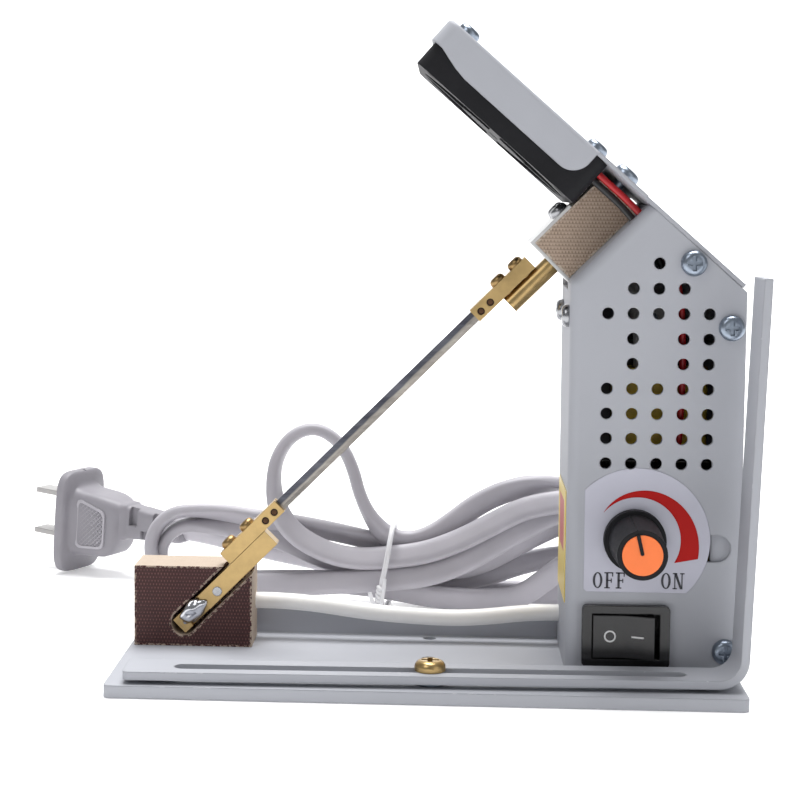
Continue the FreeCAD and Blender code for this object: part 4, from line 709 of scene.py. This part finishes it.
def make_plug():
    """Moulded plug: a rounded flange, a grip with a knurled panel and a slotted relief."""
    profile = [(-2.2, 9.7, 1.2, 30.6, 5), (-2.05, 10.3, 0.5, 31.2, 5),
               (-1.6, 10.7, 0.15, 31.5, 5), (0.2, 10.8, 0.1, 31.6, 5), (0.9, 10.6, 0.3, 31.4, 5),
               (1.3, 10.1, 0.8, 30.9, 5), (1.5, 9.4, 1.6, 30.1, 5), (1.7, 8.4, 3.6, 28.4, 4.5),
               (2.2, 7.9, 5.0, 27.2, 4.5), (3.2, 7.5, 5.8, 26.4, 6), (5.5, 7.3, 6.1, 26.0, 7),
               (10, 7.15, 6.3, 25.7, 7), (13, 7.0, 6.6, 25.4, 6), (15.4, 6.5, 7.6, 24.8, 5),
               (16.8, 5.9, 9.0, 24.4, 4), (17.5, 5.3, 11.0, 24.2, 4), (18.0, 4.8, 12.4, 24.1, 5),
               (19.6, 4.6, 12.8, 24.0, 6), (20.0, 4.3, 13.1, 23.7, 6), (20.4, 4.1, 13.3, 23.5, 6),
               (29, 3.9, 14.1, 22.8, 6), (39.0, 3.7, 14.9, 22.0, 6), (39.5, 3.3, 15.4, 21.5, 6)]
    rings = [[PLUG_FRAME @ point for point in soft_ring(*row)] for row in profile]
    body = piece("plug_shell", *sweep(rings), sharp=55)
    carve(body, placed(plug_slots(), PLUG_FRAME), sharp=35)
    dress(body, "cord_grey", plug_skin())
    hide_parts("plug_body")
    outer, inner = panel_outline(0), panel_outline(0.75)
    rim_shape = film(outer, inner, PANEL_FRONT, PANEL_BACK)
    rim = piece("plug_grip_rim", *placed(rim_shape, PLUG_FRAME), sharp=25)
    dress(rim, "cord_grey")
    ridges, ridge_pitch = [], 1.05
    for lean in (-1, 1):
        for index in range(-11, 12):
            ridges += knurl_ridge(inner, index * ridge_pitch, lean)
    knurl = piece("plug_grip_knurl", *placed(joined(*ridges), PLUG_FRAME), sharp=25)
    dress(knurl, "cord_grey")
    return [body, rim, knurl]


cord, cord_line = make_cord()
tie = make_tie()
plug = make_plug()
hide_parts("cord_hank", "mains_lead", "cord_tail")
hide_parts("twist_tie")


# ---------------------------------------------------------------- printed marks, small looks and painted pit shade

def oval(x, z, radius_x, radius_z):
    """A closed loop round a point of the XZ plane."""
    count = 32
    turns = [math.radians(360 * k / count) for k in range(count)]
    return [(x + radius_x * math.cos(turn), z + radius_z * math.sin(turn)) for turn in turns]


def bar(x, z, wide, high):
    """A rectangle from its lower left corner."""
    return [(x, z), (x + wide, z), (x + wide, z + high), (x, z + high)]


def crescent(front, back):
    """A plate between two arcs, pointed at its start and widest at full heat."""
    centre_x, centre_z, steps = 125.7, 35.6, 48
    inner_radius, growth = 10.4, 4.75
    start, outer_sweep, inner_sweep = 141.3, 157.8, 172.3
    outer, inner = [], []
    for step in range(steps + 1):
        share = step / steps
        for loop, radius, angle in ((outer, inner_radius + growth * share, outer_sweep),
                                    (inner, inner_radius, inner_sweep)):
            turn = math.radians(start - angle * share)
            loop.append((centre_x + radius * math.cos(turn), centre_z + radius * math.sin(turn)))
    count = steps + 1
    vertices = [Vector((x, y, z)) for y in (front, back) for loop in (outer, inner)
                for x, z in loop]
    faces = []
    for first, second in ((0, count), (2 * count, 3 * count), (0, 2 * count), (count, 3 * count)):
        faces += [(first + k, first + k + 1, second + k + 1, second + k) for k in range(steps)]
    faces.append(tuple(row * count - 1 for row in (1, 2, 4, 3)))
    return vertices, faces


def letter(kind, x, z, front, back):
    """The plates of a capital O, F or N in a plain serif letter."""
    high, stem, thin, serif, right = 3.9, 0.55, 0.26, 0.4, 2.1
    top, foot = z + high - thin, thin + 2 * serif
    if kind == "O":
        wide = 1.15
        centre = (x + wide, z + high / 2)
        return [film(oval(*centre, wide, high / 2),
                     oval(*centre, wide - stem, high / 2 - thin), front, back)]
    if kind == "F":
        shapes = [bar(x + serif, z, stem, high), bar(x, z, stem + 2 * serif, thin),
                  bar(x, top, right, thin), bar(x + serif, z + 1.8, 1.35, thin),
                  bar(x + 1.85, z + high - 1.0, thin, 1.0),
                  bar(x + 1.55, z + 1.4, thin * 0.9, 1.0)]
    else:
        shapes = [bar(x + serif, z, thin, high), bar(x, z, foot, thin),
                  bar(x + right, z, thin, high), bar(x + 1.75, top, foot, thin),
                  bar(x, top, foot, thin),
                  [(x + serif - 0.1, z + high), (x + right - 0.35, z), (x + right + 0.2, z),
                   (x + serif + 0.55, z + high)]]
    return [film(shape, None, front, back) for shape in shapes]


def dial_print():
    """A red crescent that widens towards full heat, and OFF and ON below it."""
    front, back, letter_pitch = 21.72, 21.82, 2.75
    red = piece("dial_crescent", *placed(crescent(front, back), BENCH_FRAME), sharp=20)
    red_ink = plain("crescent_red", (0.47, 0.012, 0.010), 0.5, spread=0.06, grain=1200, bump=0.05,
                    depth=0.00003, Specular_IOR_Level=0.12)
    dress(red, "label_film", red_ink)
    words = []
    for word, x, z in (("OFF", 115.3, 23.8), ("ON", 131.6, 23.9)):
        for index, kind in enumerate(word):
            words += letter(kind, x + index * letter_pitch, z, front, back)
    text = piece("dial_words", *placed(joined(*words), BENCH_FRAME), sharp=20)
    black_ink = plain("ink_black", (0.02, 0.02, 0.03), 0.4, spread=0.1, scale=100, grain=1200,
                      bump=0.05)
    dress(text, "label_film", black_ink)


def switch_marks():
    """A ring and a bar on the rocker's two facets."""
    rest_tip, facet_lean = -7, 10.6
    pivot = Matrix.Translation(at(123.3, 24, 12.4)) \
        @ Matrix.Rotation(math.radians(rest_tip), 4, "Z")
    shapes = []
    for side, outline, inner in ((-1, oval(0, 0, 1.45, 1.45), oval(0, 0, 1.05, 1.05)),
                                 (1, bar(-1.5, -0.2, 3.0, 0.4), None)):
        lean = Matrix.Rotation(math.radians(-facet_lean * side), 4, "Z")
        face = pivot @ Matrix.Translation(Vector((3.3 * side, -4.52, 0.1)) * MM) @ lean \
            @ Matrix.Scale(MM, 4)
        shapes.append(placed(film(outline, inner, -0.05, 0.02), face))
    marks = piece("rocker_marks", *joined(*shapes), body="rocker", sharp=20)
    white_ink = plain("mark_white", (0.75, 0.75, 0.75), 0.4, spread=0.05, scale=100, bump=0.05)
    dress(marks, "black_gloss", white_ink)


def knob_pointer():
    """The black pointer set into the orange cap, and its ridge down the knob's side."""
    rest_turn = -13
    lean = Matrix.Translation(at(125, 0, 35.8)) \
        @ Matrix.Rotation(math.radians(rest_turn), 4, "Y") @ Matrix.Scale(MM, 4)
    half, pointer_foot, pointer_tip, sunk, proud = 0.42, 0.4, 4.9, 1.3, 0.75
    outline = [(half * math.cos(math.radians(a)), pointer_foot + half * math.sin(math.radians(a)))
               for a in range(180, 361, 20)] + [(half, pointer_tip), (-half, pointer_tip)]
    pointer = placed(film(outline, None, proud, sunk), lean)
    ridge_half, near, far, tip, foot = 0.45, 1.3, 18.4, 5.75, 6.35
    ridge = [Vector(spot) for spot in (
        (-ridge_half, near, tip - 0.2), (ridge_half, near, tip - 0.2),
        (ridge_half, far, foot - 0.2), (-ridge_half, far, foot - 0.2),
        (0, near, tip + 0.35), (0, far, foot + 0.3))]
    ridge_faces = [(0, 1, 2, 3), (0, 4, 5, 3), (1, 2, 5, 4), (0, 1, 4), (3, 5, 2)]
    item = piece("knob_pointer", *joined(pointer, placed((ridge, ridge_faces), lean)),
                 body="dial", sharp=25)
    dress(item, "black_matte")


def solder_blob():
    """A bright lump of solder that fills the notch in the bar."""
    rows, count, lumpiness = 18, 28, 0.34
    noise_place = Vector((4.2, 1.3, 0.6))
    centre, half = (19.6, 42.0, -2.95), (4.4, 1.8, 2.45)
    rings = []
    for row in range(1, rows):
        polar = math.pi * row / rows
        ring = []
        for step in range(count):
            turn = 2 * math.pi * step / count
            spot = Vector((math.cos(polar), math.sin(polar) * math.cos(turn),
                           math.sin(polar) * math.sin(turn)))
            lump = 1 + lumpiness * noise.noise(spot * 1.5 + noise_place)
            ring.append(on_slope(*(spot_centre + reach * part * lump
                                   for spot_centre, reach, part in zip(centre, half, spot))))
        rings.append(ring)
    blob = piece("solder_blob", *sweep(rings), sharp=80)
    smooth = blob.modifiers.new("smooth", "SUBSURF")
    smooth.levels = smooth.render_levels = 1
    dress(blob, "solder")
    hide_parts("solder_joint")


def clamp_dimple_shade():
    """Painted shade in the pits of the clamps' front faces: dark discs on the pits' floors and
    darker rings round them.
    """
    slope_frame = BENCH_FRAME @ Matrix.Rotation(math.radians(-BLADE_SLOPE), 4, "Y")
    places, across = (49.2, 52.3, 125.2, 128.4), 0.7
    pit_floor_shade = [film(oval(u, across, 0.8, 0.8), None, 41.85, 42.05) for u in places]
    pit_rim_shade = [film(oval(u, across, 0.93, 0.93), oval(u, across, 0.62, 0.62), 41.7, 41.9)
            for u in places]
    # Painted shade: these dark brown discs and rings stand in for the shade inside the pits.
    for name, shapes, color in (("dimple_floor_shade", pit_floor_shade, (0.10, 0.045, 0.02)),
                                ("dimple_rim_shade", pit_rim_shade, (0.035, 0.018, 0.01))):
        item = piece(name, *placed(joined(*shapes), slope_frame), sharp=25)
        pit_shade = plain(name, color, 0.4, metal=0.6, spread=0.3, scale=900, grain=1500, bump=0.3)
        dress(item, "brass", pit_shade)


dial_print()
switch_marks()
# Painted shade in the clamps' pits.
clamp_dimple_shade()
knob_pointer()
solder_blob()


# ---------------------------------------------------------------- stage, light and camera

def make_stage():
    """A pale floor that curves up into a backdrop behind the object."""
    half, back, top, curve, steps = 3.0, 2.2, 3.0, 0.8, 12
    below = 0.1 * MM
    rows = [(-half, 0.0), (back - curve, 0.0)]
    rows += [(back - curve + curve * math.sin(math.pi / 2 * k / steps),
              curve * (1 - math.cos(math.pi / 2 * k / steps))) for k in range(1, steps + 1)]
    rows.append((back, top))
    mesh = bpy.data.meshes.new("floor")
    mesh.from_pydata([(x, y, z - below) for y, z in rows for x in (-half, half)], [],
                     [(2 * k, 2 * k + 1, 2 * k + 3, 2 * k + 2) for k in range(len(rows) - 1)])
    for face in mesh.polygons:
        face.use_smooth = True
    floor = bpy.data.objects.new("floor", mesh)
    bpy.context.scene.collection.objects.link(floor)
    recipe = Recipe("floor_white", (0.9, 0.9, 0.905), 0.55, Emission_Color=(1, 1, 1, 1),
                    Emission_Strength=0.29)
    recipe.color(recipe.ramp(recipe.noise(3, 2), (0.3, (0.89, 0.89, 0.895)),
                             (0.7, (0.91, 0.91, 0.915))))
    mesh.materials.append(recipe.material)


def lamp(name, place, target, size, power):
    """A soft round lamp that faces a target."""
    data = bpy.data.lights.new(name, "AREA")
    data.shape = "DISK"
    data.size, data.energy = size, power
    item = bpy.data.objects.new(name, data)
    item.location = place
    item.rotation_euler = (Vector(target) - Vector(place)).to_track_quat("-Z", "Y").to_euler()
    bpy.context.scene.collection.objects.link(item)


def make_lights():
    """Soft light from above and in front, and a lamp that whitens the backdrop."""
    target = (0, 0, 0.06)
    lamp("key", (-0.6, -0.75, 0.95), target, size=0.6, power=2.7)
    lamp("fill", (0.9, -0.8, 0.5), target, size=0.9, power=1.5)
    lamp("top", (0.0, 0.25, 1.3), target, size=0.9, power=26)
    lamp("back", (0, 1.3, 0.9), (0, 1.8, 0.2), size=1.6, power=14)
    world = bpy.data.worlds.new("studio")
    world.use_nodes = True
    background = world.node_tree.nodes["Background"]
    background.inputs["Color"].default_value = (0.93, 0.94, 0.96, 1)
    background.inputs["Strength"].default_value = 0.29
    bpy.context.scene.world = world
    bpy.context.scene.view_settings.view_transform = "Standard"


def make_camera():
    """A long lens in front, looking 4.3 degrees down and turned 3.5 degrees left."""
    data = bpy.data.cameras.new("camera")
    data.lens, data.sensor_width = 87.06, 36.0
    data.shift_x, data.shift_y = 0.0892, -0.0866
    data.clip_start = 0.01
    camera = bpy.data.objects.new("camera", data)
    camera.location = at(79.47, -441.27, 119.81)
    pitch, yaw, roll = math.radians(90 - 4.267), math.radians(3.495), math.radians(0.392)
    turn = Euler((pitch, 0, yaw)).to_matrix() @ Matrix.Rotation(roll, 3, "Z")
    camera.rotation_euler = turn.to_euler()
    bpy.context.scene.collection.objects.link(camera)
    bpy.context.scene.camera = camera


make_stage()
make_lights()
make_camera()
